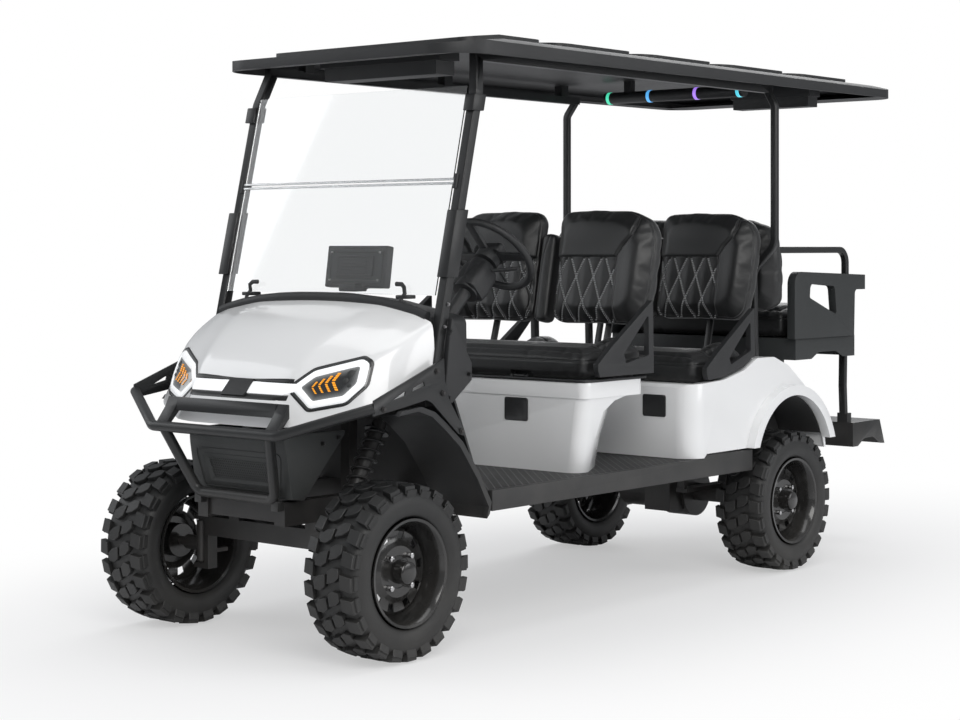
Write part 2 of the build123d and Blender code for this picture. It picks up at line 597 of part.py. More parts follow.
suspension = []
for side in (-1, 1):
    leaf = block(*sorted((side * 250, side * 305)), 2060, 2760, 335, 352)
    leaf += rod((side * 278, 2470, 350), (side * 240, 2560, 640), 24)
    for y in (2075, 2745):
        leaf += block(*sorted((side * 255, side * 290)), y - 12, y + 12, 345, 445)
        leaf += block(*sorted((side * RAIL_X[1], side * 290)), y - 12, y + 12, 425, 445)
    suspension.append(leaf)
    shock = rod((side * 285, 12, 428), (side * 285, 205, 757), 26)
    shock += rod((side * 285, 2, 407), (side * 285, 18, 438), 10)
    shock += rod((side * 285, 200, 750), (side * 285, 207, 768), 10)
    suspension.append(shock)
save("suspension", suspension)
save("battery_pack", block(-300, 300, 1075, 1240, 522, 780))


# ---- wheels ----
def rim_shape():
    """Rim about the X axis, the outer face towards +X."""
    lip = TYRE_HALF_WIDTH - 9
    barrel_rows = [(-lip, RIM_R - 6), (lip, RIM_R - 6), (lip, LIP_R), (lip - 6, LIP_R), (lip - 6, RIM_R),
                   (-lip + 6, RIM_R), (-lip + 6, LIP_R), (-lip, LIP_R)]
    barrel = revolve(Plane.XZ * outline(barrel_rows), Axis.X)
    disc = Pos(33, 0, 0) * (Rot(Y=90) * Cylinder(RIM_R - 6, 8))
    for k in range(8):
        angle = radians(45 * k + 22.5)
        disc -= Pos(33, 112 * cos(angle), 112 * sin(angle)) * (Rot(Y=90) * Cylinder(24, 20))
    hub_body = Pos(35, 0, 0) * (Rot(Y=90) * Cylinder(60, 70))
    hub_body += Pos(75, 0, 0) * (Rot(Y=90) * Cylinder(34, 30))
    rim = barrel + disc + hub_body
    rim -= Pos(-5, 0, 0) * (Rot(Y=90) * Cylinder(15.05, 60))
    return rim


def faceted(rows):
    """Solid through regular polygons on the X axis, one side to a lug, from (x, radius) rows."""
    return loft([Plane.YZ.offset(x) * RegularPolygon(radius, LUG_COUNT) for x, radius in rows],
                ruled=True)


# the tyre's section, outer and inner: x, radius at the polygon's corners
BEAD_R = (RIM_R + 0.5) / cos(radians(180 / LUG_COUNT))
CARCASS = [(-92, 182), (-TYRE_HALF_WIDTH, 232), (-104, 277), (104, 277), (TYRE_HALF_WIDTH, 232), (92, 182)]
CAVITY = [(-96, BEAD_R), (-80, BEAD_R), (-95, 252), (95, 252), (80, BEAD_R), (96, BEAD_R)]
tyre = faceted(CARCASS) - faceted(CAVITY)
# one lug a pitch on each side of the tread, the two sides half a pitch apart
LUG_FOOT = [(8, -14), (102, -18), (102, 10), (8, 8)]      # x, y from the lug's middle
lugs = []
for side, phase in ((1, 0), (-1, 0.5)):
    lug = along_z([(side * x, y) for x, y in LUG_FOOT], 264, TYRE_R)
    lugs += [Rot(X=360 / LUG_COUNT * (k + phase)) * lug for k in range(LUG_COUNT)]
tyre += lugs
rim = rim_shape()
for name, side, y in [("front_left", 1, 0), ("front_right", -1, 0),
                      ("rear_left", 1, WHEELBASE), ("rear_right", -1, WHEELBASE)]:
    place = Pos(side * TRACK_HALF, y, TYRE_R)
    save(f"rim_{name}", place * (rim if side > 0 else mirror(rim, Plane.YZ)))
    save(f"tyre_{name}", place * (tyre if side > 0 else mirror(tyre, Plane.YZ)))
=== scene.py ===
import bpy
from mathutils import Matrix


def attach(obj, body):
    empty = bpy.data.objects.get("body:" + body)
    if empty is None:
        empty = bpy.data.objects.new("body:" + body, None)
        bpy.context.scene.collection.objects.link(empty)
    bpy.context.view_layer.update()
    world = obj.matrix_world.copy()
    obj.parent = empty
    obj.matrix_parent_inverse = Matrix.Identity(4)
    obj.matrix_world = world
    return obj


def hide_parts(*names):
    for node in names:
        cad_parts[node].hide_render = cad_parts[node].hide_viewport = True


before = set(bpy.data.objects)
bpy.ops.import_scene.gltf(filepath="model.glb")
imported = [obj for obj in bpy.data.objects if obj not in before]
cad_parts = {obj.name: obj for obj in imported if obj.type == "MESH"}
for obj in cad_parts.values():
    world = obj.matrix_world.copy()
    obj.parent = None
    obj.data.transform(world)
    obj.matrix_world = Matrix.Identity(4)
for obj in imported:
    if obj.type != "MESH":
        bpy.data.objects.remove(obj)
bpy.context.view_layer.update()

import bpy
import bmesh
from math import atan2, cos, pi, radians, sin
from mathutils import Matrix, Vector

# ---------------------------------------------------------------- floor, lights and camera
# A pale sweep under the cart. One large soft lamp from the front left, a weaker one from the right, a strip
# above the roof, and a white surround that only the camera and rays through glass see.
bpy.ops.object.select_all(action="DESELECT")
bpy.ops.mesh.primitive_plane_add(size=60, location=(0, 0, 0))
floor = bpy.context.object
floor.name = "floor"
bpy.ops.object.mode_set(mode="EDIT")
bpy.ops.mesh.subdivide(number_cuts=5)
bpy.ops.object.mode_set(mode="OBJECT")
floor_mat = bpy.data.materials.new("pale_floor")
floor_mat.use_nodes = True
tree = floor_mat.node_tree
tree.nodes["Principled BSDF"].inputs["Base Color"].default_value = (0.86, 0.86, 0.87, 1)
tree.nodes["Principled BSDF"].inputs["Roughness"].default_value = 0.75
# away from the cart the floor runs into the white surround
spot = tree.nodes.new("ShaderNodeTexCoord")
flat = tree.nodes.new("ShaderNodeVectorMath")
flat.operation = "MULTIPLY"
flat.inputs[1].default_value = (1.0, 0.55, 0.0)
tree.links.new(spot.outputs["Object"], flat.inputs[0])
far = tree.nodes.new("ShaderNodeVectorMath")
far.operation = "LENGTH"
tree.links.new(flat.outputs[0], far.inputs[0])
fade = tree.nodes.new("ShaderNodeMapRange")
fade.interpolation_type = "SMOOTHSTEP"
fade.inputs["From Min"].default_value = 0.75
fade.inputs["From Max"].default_value = 2.4
fade.inputs["To Min"].default_value = 0.45
tree.links.new(far.outputs["Value"], fade.inputs["Value"])
paths = tree.nodes.new("ShaderNodeLightPath")
shown = tree.nodes.new("ShaderNodeMath")
shown.operation = "MULTIPLY"
tree.links.new(fade.outputs["Result"], shown.inputs[0])
tree.links.new(paths.outputs["Is Camera Ray"], shown.inputs[1])
white = tree.nodes.new("ShaderNodeEmission")
white.inputs["Color"].default_value = (1, 1, 1, 1)
blend = tree.nodes.new("ShaderNodeMixShader")
tree.links.new(shown.outputs[0], blend.inputs[0])
tree.links.new(tree.nodes["Principled BSDF"].outputs[0], blend.inputs[1])
tree.links.new(white.outputs[0], blend.inputs[2])
tree.links.new(blend.outputs[0], tree.nodes["Material Output"].inputs["Surface"])
floor.data.materials.append(floor_mat)

for name, place, size, energy, colour in [
        ("key", (5.5, -5.0, 5.2), 4.5, 285, (1.0, 0.99, 0.97)),
        ("fill", (-6.0, -3.5, 3.5), 4.0, 80, (0.96, 0.98, 1.0)),
        ("side", (6.5, 2.5, 3.0), 4.0, 120, (1.0, 1.0, 1.0)),
        ("back", (-3.0, 6.5, 4.5), 4.0, 110, (1.0, 1.0, 1.0)),
        ("top", (0.0, 0.0, 6.5), 5.0, 140, (1.0, 1.0, 1.0))]:
    data = bpy.data.lights.new(name, "AREA")
    data.size = size
    data.energy = energy
    data.color = colour
    lamp = bpy.data.objects.new(name, data)
    bpy.context.collection.objects.link(lamp)
    lamp.location = place
    lamp.rotation_euler = (Vector((0, 0, 0.8)) - lamp.location).to_track_quat("-Z", "Y").to_euler()

world = bpy.data.worlds.new("surround")
bpy.context.scene.world = world
world.use_nodes = True
tree = world.node_tree
tree.nodes.clear()
paths = tree.nodes.new("ShaderNodeLightPath")
seen = tree.nodes.new("ShaderNodeMath")
seen.operation = "MAXIMUM"
tree.links.new(paths.outputs["Is Camera Ray"], seen.inputs[0])
tree.links.new(paths.outputs["Is Transmission Ray"], seen.inputs[1])
dim = tree.nodes.new("ShaderNodeBackground")
dim.inputs["Color"].default_value = (0.80, 0.82, 0.85, 1)
dim.inputs["Strength"].default_value = 0.42
bright = tree.nodes.new("ShaderNodeBackground")
bright.inputs["Color"].default_value = (1, 1, 1, 1)
bright.inputs["Strength"].default_value = 1.0
mix = tree.nodes.new("ShaderNodeMixShader")
tree.links.new(seen.outputs[0], mix.inputs[0])
tree.links.new(dim.outputs[0], mix.inputs[1])
tree.links.new(bright.outputs[0], mix.inputs[2])
out = tree.nodes.new("ShaderNodeOutputWorld")
tree.links.new(mix.outputs[0], out.inputs["Surface"])

view_data = bpy.data.cameras.new("camera")
view_data.sensor_width = 36
view_data.lens = 73.417
view_data.shift_x = -0.0003
view_data.shift_y = -0.11807
view_data.clip_end = 200
camera = bpy.data.objects.new("camera", view_data)
bpy.context.collection.objects.link(camera)
camera.location = (4.9259, -6.2886, 1.3653)
camera.rotation_euler = (radians(90), 0, radians(40.168))
bpy.context.scene.camera = camera
bpy.context.scene.view_settings.view_transform = "Standard"

# ---------------------------------------------------------------- white body panels
# The cowl, the seat box and the rear body are moulded panels in gloss white. The cowl is one
# curved shell; the other two are CAD shapes with their edges softened.


def new_material(name, base, roughness=0.5, **sockets):
    """A Principled material with its plain values set, and its tree and shader handed back."""
    material = bpy.data.materials.new(name)
    material.use_nodes = True
    shader = material.node_tree.nodes["Principled BSDF"]
    shader.inputs["Base Color"].default_value = (*base, 1)
    shader.inputs["Roughness"].default_value = roughness
    for socket, value in sockets.items():
        shader.inputs[socket.replace("_", " ")].default_value = value
    return material


def build_group(name, inputs, outputs):
    """An empty shader node group with named float, colour or vector sockets."""
    group = bpy.data.node_groups.new(name, "ShaderNodeTree")
    for way, sockets in (("INPUT", inputs), ("OUTPUT", outputs)):
        for label, kind, value in sockets:
            socket = group.interface.new_socket(label, in_out=way, socket_type="NodeSocket" + kind)
            if value is not None:
                socket.default_value = value
    return group, group.nodes.new("NodeGroupInput"), group.nodes.new("NodeGroupOutput")


def add_node(tree, kind, *links, **values):
    """Add a shader node; values set its properties, links are (socket, source) pairs."""
    node = tree.nodes.new("ShaderNode" + kind)
    for key, value in values.items():
        if key in node.bl_rna.properties:
            setattr(node, key, value)
        else:
            node.inputs[key.replace("_", " ")].default_value = value
    for socket, source in links:
        tree.links.new(source, node.inputs[socket])
    return node


# Grain: fine bumps and a change of gloss that follow the surface in object space.
grain, grain_in, grain_out = build_group(
    "grain",
    [("Scale", "Float", 400.0), ("Depth", "Float", 0.1), ("Low Gloss", "Float", 0.5),
     ("High Gloss", "Float", 0.4), ("Colour", "Color", (0.5, 0.5, 0.5, 1)),
     ("Fleck", "Color", (0.6, 0.6, 0.6, 1)), ("Fleck Share", "Float", 0.3)],
    [("Colour", "Color", None), ("Roughness", "Float", None), ("Normal", "Vector", None)])
place = add_node(grain, "TexCoord")
fine = add_node(grain, "TexNoise", ("Vector", place.outputs["Object"]),
                ("Scale", grain_in.outputs["Scale"]), Detail=3.0, Roughness=0.6)
broad = add_node(grain, "TexNoise", ("Vector", place.outputs["Object"]), Scale=5.0, Detail=4.0)
share = add_node(grain, "Math", (0, broad.outputs["Fac"]), (1, grain_in.outputs["Fleck Share"]),
                 operation="MULTIPLY")
tint = add_node(grain, "MixRGB", ("Fac", share.outputs[0]), ("Color1", grain_in.outputs["Colour"]),
                ("Color2", grain_in.outputs["Fleck"]))
gloss = add_node(grain, "MapRange", ("Value", broad.outputs["Fac"]),
                 ("To Min", grain_in.outputs["Low Gloss"]),
                 ("To Max", grain_in.outputs["High Gloss"]))
relief = add_node(grain, "Bump", ("Height", fine.outputs["Fac"]), ("Strength", grain_in.outputs["Depth"]),
                  Distance=0.001)
grain.links.new(tint.outputs[0], grain_out.inputs["Colour"])
grain.links.new(gloss.outputs[0], grain_out.inputs["Roughness"])
grain.links.new(relief.outputs[0], grain_out.inputs["Normal"])

# Road dust: a pale film that gathers in patches, more of it the lower it is on the cart.
dust, dust_in, dust_out = build_group(
    "road_dust",
    [("Colour", "Color", (0.5, 0.5, 0.5, 1)), ("Dust", "Color", (0.42, 0.39, 0.35, 1)),
     ("Top", "Float", 0.6), ("Amount", "Float", 0.2)],
    [("Colour", "Color", None), ("Mask", "Float", None)])
place = add_node(dust, "TexCoord")
split = add_node(dust, "SeparateXYZ", (0, place.outputs["Object"]))
low = add_node(dust, "MapRange", ("Value", split.outputs["Z"]), ("From Min", dust_in.outputs["Top"]),
               From_Max=0.0, To_Min=0.0, To_Max=1.0)
patch = add_node(dust, "TexNoise", ("Vector", place.outputs["Object"]), Scale=9.0, Detail=5.0)
film = add_node(dust, "Math", (0, low.outputs[0]), (1, patch.outputs["Fac"]), operation="MULTIPLY")
film = add_node(dust, "Math", (0, film.outputs[0]), (1, dust_in.outputs["Amount"]), operation="MULTIPLY")
film.use_clamp = True
tint = add_node(dust, "MixRGB", ("Fac", film.outputs[0]), ("Color1", dust_in.outputs["Colour"]),
                ("Color2", dust_in.outputs["Dust"]))
dust.links.new(tint.outputs[0], dust_out.inputs["Colour"])
dust.links.new(film.outputs[0], dust_out.inputs["Mask"])


def grained(name, colour, fleck, scale, depth, gloss_range, share=0.3, dust_top=0.9, dust_amount=0.25,
            **sockets):
    """A material whose colour, gloss and relief come from the grain and the road dust."""
    material = new_material(name, colour, gloss_range[0], **sockets)
    nodes = material.node_tree
    shader = nodes.nodes["Principled BSDF"]
    surface = add_node(nodes, "Group", node_tree=grain)
    for label, value in (("Scale", scale), ("Depth", depth), ("Low Gloss", gloss_range[0]),
                         ("High Gloss", gloss_range[1]), ("Colour", (*colour, 1)), ("Fleck", (*fleck, 1)),
                         ("Fleck Share", share)):
        surface.inputs[label].default_value = value
    film = add_node(nodes, "Group", node_tree=dust)
    film.inputs["Top"].default_value = dust_top
    film.inputs["Amount"].default_value = dust_amount
    nodes.links.new(surface.outputs["Colour"], film.inputs["Colour"])
    nodes.links.new(film.outputs["Colour"], shader.inputs["Base Color"])
    nodes.links.new(surface.outputs["Roughness"], shader.inputs["Roughness"])
    nodes.links.new(surface.outputs["Normal"], shader.inputs["Normal"])
    return material


white_paint = grained("white_gloss", (0.84, 0.845, 0.85), (0.80, 0.805, 0.815), 160.0, 0.03,
                      (0.24, 0.17), dust_top=0.75, dust_amount=0.10, Coat_Weight=0.6, Coat_Roughness=0.06)


def alone(piece):
    """Make a piece the only one selected, and the active one."""
    if bpy.context.mode != "OBJECT":
        bpy.ops.object.mode_set(mode="OBJECT")
    bpy.ops.object.select_all(action="DESELECT")
    piece.select_set(True)
    bpy.context.view_layer.objects.active = piece


def finish(piece, body, slot, *materials, smooth=35):
    """Apply a piece's modifiers and place, give it its finish and let it ride on a body."""
    alone(piece)
    for modifier in list(piece.modifiers):
        bpy.ops.object.modifier_apply(modifier=modifier.name)
    bpy.ops.object.transform_apply(location=True, rotation=True, scale=True)
    if smooth:
        bpy.ops.object.shade_smooth_by_angle(angle=radians(smooth))
    if materials:
        if piece.data.materials:
            piece.data.materials.clear()
        for material in materials:
            piece.data.materials.append(material)
    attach(piece, body)
    return piece


def soften(node, body, slot, material, width, segments=2, angle=32, smooth=40):
    """A copy of a plain part with its sharp edges rounded, shown in the part's place."""
    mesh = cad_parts[node].data.copy()
    piece = bpy.data.objects.new(node + "_finished", mesh)
    bpy.context.collection.objects.link(piece)
    alone(piece)
    bpy.ops.object.mode_set(mode="EDIT")
    bpy.ops.mesh.select_all(action="SELECT")
    bpy.ops.mesh.remove_doubles(threshold=0.00004)
    bpy.ops.mesh.dissolve_limited(angle_limit=radians(0.6))
    bpy.ops.object.mode_set(mode="OBJECT")
    if width:
        bevel = piece.modifiers.new("edges", "BEVEL")
        bevel.width = width
        bevel.segments = segments
        bevel.limit_method = "ANGLE"
        bevel.angle_limit = radians(angle)
        bevel.use_clamp_overlap = True
    finish(piece, body, slot, material, smooth=smooth)
    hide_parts(node)
    return piece


# The cowl: a grid laid over five lines on each side of the middle, at ten places along it.
# The first row is the foot of the chin.
COWL = [(-1.769, (0, 0.762), (0.190, 0.762), (0.208, 0.763), (0.228, 0.764), (0.2575, 0.767)),
        (-1.773, (0, 0.846), (0.196, 0.843), (0.214, 0.832), (0.232, 0.806), (0.258, 0.768)),
        (-1.740, (0, 0.869), (0.218, 0.867), (0.230, 0.852), (0.262, 0.822), (0.312, 0.772)),
        (-1.707, (0, 0.906), (0.225, 0.905), (0.242, 0.892), (0.296, 0.850), (0.382, 0.785)),
        (-1.675, (0, 0.968), (0.236, 0.966), (0.284, 0.930), (0.354, 0.896), (0.446, 0.798)),
        (-1.635, (0, 1.015), (0.246, 1.004), (0.312, 0.974), (0.408, 0.936), (0.500, 0.815)),
        (-1.575, (0, 1.071), (0.256, 1.054), (0.362, 1.018), (0.462, 0.986), (0.542, 0.835)),
        (-1.520, (0, 1.109), (0.272, 1.091), (0.402, 1.054), (0.505, 1.019), (0.560, 0.848)),
        (-1.440, (0, 1.148), (0.292, 1.130), (0.442, 1.096), (0.533, 1.062), (0.562, 0.866)),
        (-1.347, (0, 1.180), (0.302, 1.166), (0.468, 1.136), (0.546, 1.108), (0.562, 0.898))]
bpy.ops.object.select_all(action="DESELECT")
bpy.ops.mesh.primitive_grid_add(x_subdivisions=8, y_subdivisions=len(COWL) - 1, size=2, location=(0, 0, 0))
cowl = bpy.context.object
cowl.name = "front_cowl_shell"
columns = sorted({round(v.co.x, 4) for v in cowl.data.vertices})
lines = sorted({round(v.co.y, 4) for v in cowl.data.vertices})
for vertex in cowl.data.vertices:
    across = columns.index(round(vertex.co.x, 4)) - 4
    y, *points = COWL[lines.index(round(vertex.co.y, 4))]
    x, z = points[abs(across)]
    vertex.co = (x if across > 0 else -x, y, z)
alone(cowl)
bpy.ops.object.mode_set(mode="EDIT")
mesh = bmesh.from_edit_mesh(cowl.data)
crease = mesh.edges.layers.float.new("crease_edge")
for edge in mesh.edges:
    a, b = edge.verts
    if edge.is_boundary:
        edge[crease] = 1.0
    elif abs(a.co.y - b.co.y) > 0.02 and min(abs(a.co.x), abs(b.co.x)) > 0.19:
        edge[crease] = 0.45
    elif max(a.co.y, b.co.y) < -1.70 and abs(a.co.y - b.co.y) < 0.001:
        edge[crease] = 0.6
bmesh.update_edit_mesh(cowl.data)
bpy.ops.object.mode_set(mode="OBJECT")
rounding = cowl.modifiers.new("rounding", "SUBSURF")
rounding.levels = rounding.render_levels = 3
wall = cowl.modifiers.new("wall", "SOLIDIFY")
wall.thickness = 0.004
wall.offset = -1
finish(cowl, "root", "white_body", white_paint, smooth=50)
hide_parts("front_cowl")

soften("front_seat_box", "root", "white_body", white_paint, 0.006, 3)
soften("rear_body", "root", "white_body", white_paint, 0.006, 3)

# ---------------------------------------------------------------- black steel and moulded plastic
# The ladder frame, guard, posts and rails are welded steel in satin black powder coat. Floor,
# sills, liners, dash and roof are grained black plastic, and the rear tray is a greyer one.
powder = grained("black_powder_coat", (0.010, 0.0105, 0.011), (0.026, 0.027, 0.028), 700.0, 0.25,
                 (0.42, 0.30), share=0.5, dust_top=0.7, dust_amount=0.25)
moulded = grained("black_moulded", (0.013, 0.0135, 0.0145), (0.028, 0.029, 0.031), 900.0, 0.35,
                  (0.55, 0.42), share=0.5, dust_top=0.8, dust_amount=0.22)
grey_moulded = grained("grey_moulded", (0.021, 0.0235, 0.0240), (0.034, 0.0375, 0.0385), 800.0, 0.4,
                       (0.58, 0.46), share=0.5, dust_top=0.8, dust_amount=0.2)
chassis = grained("chassis_black", (0.010, 0.010, 0.011), (0.035, 0.033, 0.031), 300.0, 0.3,
                  (0.50, 0.34), share=0.6, dust_top=0.9, dust_amount=0.12)
bare_steel = grained("bare_steel", (0.38, 0.38, 0.39), (0.22, 0.21, 0.20), 350.0, 0.25,
                     (0.38, 0.24), share=0.6, dust_amount=0.4, Metallic=1.0)

cast_iron = grained("cast_iron", (0.045, 0.045, 0.047), (0.085, 0.080, 0.075), 260.0, 0.5,
                    (0.62, 0.45), share=0.6, dust_amount=0.3, Metallic=0.6)

for node, finish_with, width in [
        ("brush_guard", powder, 0.0012), ("canopy_frame", powder, 0.0),
        ("rear_grab_rails", powder, 0.0), ("footplate", powder, 0.003),
        ("seat_struts", powder, 0.002), ("windshield_clips", powder, 0.003)]:
    soften(node, "root", "black_metal", finish_with, width, 2)
for node, finish_with, width in [
        ("leg_shields", moulded, 0.004), ("sills", moulded, 0.004), ("dashboard", moulded, 0.005),
        ("roof", moulded, 0.006), ("wheel_liners", moulded, 0.002), ("roof_pods", moulded, 0.006),
        ("floor_pan", moulded, 0.0), ("steering_column", moulded, 0.004)]:
    soften(node, "root", "black_plastic", finish_with, width, 3)
for node, width in [("front_panel", 0.004), ("rear_deck", 0.006), ("rear_armrests", 0.008)]:
    soften(node, "root", "grey_plastic", grey_moulded, width, 3)
soften("front_hip_restraints", "front_seat", "black_plastic", moulded, 0.005, 3)
soften("middle_hip_restraints", "middle_seat", "black_plastic", moulded, 0.005, 3)
for node, finish_with in [("frame", chassis), ("frame_uprights", chassis), ("front_axle", chassis),
                          ("drive_unit", chassis), ("suspension", chassis), ("battery_pack", moulded),
                          ("knuckle_left", cast_iron), ("knuckle_right", cast_iron)]:
    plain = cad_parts[node].data.materials
    plain.clear()
    plain.append(finish_with)

# the hinge ears on the two white bodies are black
for node, y, z in (("front_seat_box", -0.479, 0.8605), ("rear_body", 0.245, 0.8205)):
    body_piece = bpy.data.objects[node + "_finished"]
    body_piece.data.materials.append(moulded)
    for polygon in body_piece.data.polygons:
        spot = polygon.center
        if abs(abs(spot.x) - 0.22) < 0.06 and abs(spot.y - y) < 0.03 and spot.z > z:
            polygon.material_index = 1

# ---------------------------------------------------------------- wheels
# Knobby tyres on black steel rims. The carcass is spun from its section, the lugs are four
# shapes moulded in rings, and the rim is a pressed barrel and a dished disc with ten slots.
rubber = grained("tyre_rubber", (0.0085, 0.009, 0.0094), (0.022, 0.0225, 0.023), 260.0, 0.5,
                 (0.60, 0.42), share=0.6, dust_top=0.62, dust_amount=0.10)
rim_paint = grained("rim_black", (0.006, 0.0062, 0.0065), (0.012, 0.012, 0.0125), 200.0, 0.06,
                    (0.26, 0.16), share=0.5, dust_top=0.6, dust_amount=0.12, Coat_Weight=0.4)
bright_nut = grained("plated_nut", (0.62, 0.62, 0.63), (0.45, 0.44, 0.43), 300.0, 0.1, (0.22, 0.14),
                     share=0.5, dust_amount=0.2, Metallic=1.0)


def spin_section(name, rows, steps, closed=True):
    """Spin a section, given as (along the axle, radius) points, about the X axis."""
    bpy.ops.object.select_all(action="DESELECT")
    bpy.ops.mesh.primitive_circle_add(vertices=len(rows), radius=1, location=(0, 0, 0))
    piece = bpy.context.object
    piece.name = name
    for vertex, (along, radius) in zip(piece.data.vertices, rows):
        vertex.co = (along, 0, radius)
    bpy.ops.object.mode_set(mode="EDIT")
    bpy.ops.mesh.select_all(action="SELECT")
    if not closed:
        mesh = bmesh.from_edit_mesh(piece.data)
        mesh.edges.ensure_lookup_table()
        last = [e for e in mesh.edges if {v.index for v in e.verts} == {0, len(rows) - 1}]
        bmesh.ops.delete(mesh, geom=last, context="EDGES_FACES")
        bmesh.update_edit_mesh(piece.data)
        bpy.ops.mesh.select_all(action="SELECT")
    bpy.ops.mesh.spin(steps=steps, angle=2 * pi, center=(0, 0, 0), axis=(1, 0, 0))
    bpy.ops.mesh.select_all(action="SELECT")
    bpy.ops.mesh.remove_doubles(threshold=0.00005)
    bpy.ops.mesh.normals_make_consistent(inside=False)
    bpy.ops.object.mode_set(mode="OBJECT")
    return piece


def ring_of(piece, count, turn=0.0):
    """Repeat a piece in a ring about the X axis, joined into one mesh."""
    alone(piece)
    bpy.ops.object.mode_set(mode="EDIT")
    bpy.ops.mesh.select_all(action="SELECT")
    bpy.ops.transform.rotate(value=turn, orient_axis="X", center_override=(0, 0, 0))
    bpy.ops.mesh.spin(steps=count - 1, dupli=True, angle=2 * pi * (count - 1) / count,
                      center=(0, 0, 0), axis=(1, 0, 0))
    bpy.ops.mesh.select_all(action="SELECT")
    bpy.ops.mesh.normals_make_consistent(inside=False)
    bpy.ops.object.mode_set(mode="OBJECT")
    return piece


def join(name, pieces):
    """Join pieces into the first one."""
    alone(pieces[0])
    for piece in pieces[1:]:
        piece.select_set(True)
    bpy.ops.object.join()
    pieces[0].name = name
    return pieces[0]


TYRE_R = 0.295
LUGS = 24
# section of the carcass, outer side first: (along the axle, radius)
half_section = [(0.000, 0.2795), (0.050, 0.2790), (0.078, 0.2750), (0.096, 0.2660), (0.107, 0.2500),
                (0.1125, 0.2300), (0.1110, 0.2080), (0.1030, 0.1900), (0.0960, 0.1830), (0.0880, 0.1815)]
inner_section = [(0.0800, 0.1830), (0.0900, 0.1960), (0.1000, 0.2200), (0.0960, 0.2500),
                 (0.0700, 0.2660), (0.000, 0.2680)]
section = half_section + inner_section
section += [(-along, radius) for along, radius in reversed(inner_section[:-1])]
section += [(-along, radius) for along, radius in reversed(half_section[1:])]
carcass = spin_section("carcass", section, 72)
smooth = carcass.modifiers.new("smooth", "SUBSURF")
smooth.levels = smooth.render_levels = 1
alone(carcass)
bpy.ops.object.modifier_apply(modifier="smooth")

# each lug: its name, outline in (along the axle, around the tread), its turn
lug_shapes = [
    ("shoulder", [(0.062, -0.020), (0.106, -0.031), (0.106, 0.021), (0.060, 0.030)], 0.0),
    ("centre", [(0.005, -0.037), (0.036, -0.029), (0.057, -0.010), (0.053, 0.019), (0.026, 0.022),
                (0.005, 0.006)], 0.35)]
lugs = []
for side in (1, -1):
    for label, corners, step in lug_shapes:
        bpy.ops.object.select_all(action="DESELECT")
        bpy.ops.mesh.primitive_circle_add(vertices=len(corners), radius=1, fill_type="NGON",
                                          location=(0, 0, 0))
        lug = bpy.context.object
        for vertex, (along, around) in zip(lug.data.vertices, corners):
            sunk = 0.010 if abs(along) > 0.09 else 0.0
            angle = around * side / TYRE_R
            radius = 0.272 - sunk
            vertex.co = (along * side, radius * sin(angle), radius * cos(angle))
        bpy.ops.object.mode_set(mode="EDIT")
        bpy.ops.mesh.select_all(action="SELECT")
        bpy.ops.mesh.extrude_region_move(TRANSFORM_OT_translate={"value": (0, 0, 0.0225)})
        mesh = bmesh.from_edit_mesh(lug.data)
        for vertex in mesh.verts:
            if vertex.select:
                radius = TYRE_R - 0.0006 - 0.006 * max(0, abs(vertex.co.x) - 0.075) / 0.03
                flat = Vector((0, vertex.co.y, vertex.co.z)).normalized() * radius
                vertex.co = (vertex.co.x * 0.985, flat.y, flat.z)
        bmesh.update_edit_mesh(lug.data)
        bpy.ops.mesh.select_all(action="SELECT")
        bpy.ops.mesh.bevel(offset=0.0016, segments=1, affect="EDGES")
        bpy.ops.mesh.normals_make_consistent(inside=False)
        bpy.ops.object.mode_set(mode="OBJECT")
        lugs.append(ring_of(lug, LUGS, 2 * pi / LUGS * (step + (0.5 if side < 0 else 0.0))))
# side biters below the shoulder lugs
for side in (1, -1):
    bpy.ops.object.select_all(action="DESELECT")
    bpy.ops.mesh.primitive_cube_add(size=1, location=(side * 0.1035, 0, 0.259))
    biter = bpy.context.object
    biter.scale = (0.009, 0.046, 0.032)
    biter.rotation_euler = (0, radians(14) * side, 0)
    bpy.ops.object.transform_apply(location=True, rotation=True, scale=True)
    bpy.ops.object.mode_set(mode="EDIT")
    bpy.ops.mesh.select_all(action="SELECT")
    bpy.ops.mesh.bevel(offset=0.002, segments=1, affect="EDGES")
    bpy.ops.object.mode_set(mode="OBJECT")
    lugs.append(ring_of(biter, LUGS, 2 * pi / LUGS * (0.5 if side < 0 else 0.0)))
tyre = join("tyre", [carcass] + lugs)

# rim: barrel with rolled lips, then the dished disc, its slots, the hub and the nuts
barrel = spin_section("barrel", [
    (-0.104, 0.1790), (-0.098, 0.1800), (-0.094, 0.1700), (-0.080, 0.1640), (-0.050, 0.1600),
    (-0.020, 0.1500), (0.030, 0.1500), (0.060, 0.1600), (0.084, 0.1650), (0.096, 0.1715),
    (0.100, 0.1800), (0.1055, 0.1795), (0.1035, 0.1700), (0.090, 0.1600), (0.064, 0.1550),
    (0.034, 0.1455), (-0.020, 0.1455), (-0.052, 0.1550), (-0.082, 0.1590), (-0.100, 0.1690)], 64)
disc = spin_section("disc", [
    (0.020, 0.1460), (0.030, 0.1400), (0.034, 0.1330), (0.032, 0.1060), (0.037, 0.0960),
    (0.046, 0.0840), (0.046, 0.0560), (0.040, 0.0500), (0.040, 0.0200)], 80, closed=False)
alone(disc)
bpy.ops.object.mode_set(mode="EDIT")
mesh = bmesh.from_edit_mesh(disc.data)
slots = []
for face in mesh.faces:
    centre = face.calc_center_median()
    radius = (centre.y ** 2 + centre.z ** 2) ** 0.5
    around = atan2(centre.z, centre.y) / (2 * pi) * 10 % 1
    if 0.106 < radius < 0.133 and around < 0.375:
        slots.append(face)
bmesh.ops.delete(mesh, geom=slots, context="FACES")
bmesh.update_edit_mesh(disc.data)
bpy.ops.object.mode_set(mode="OBJECT")
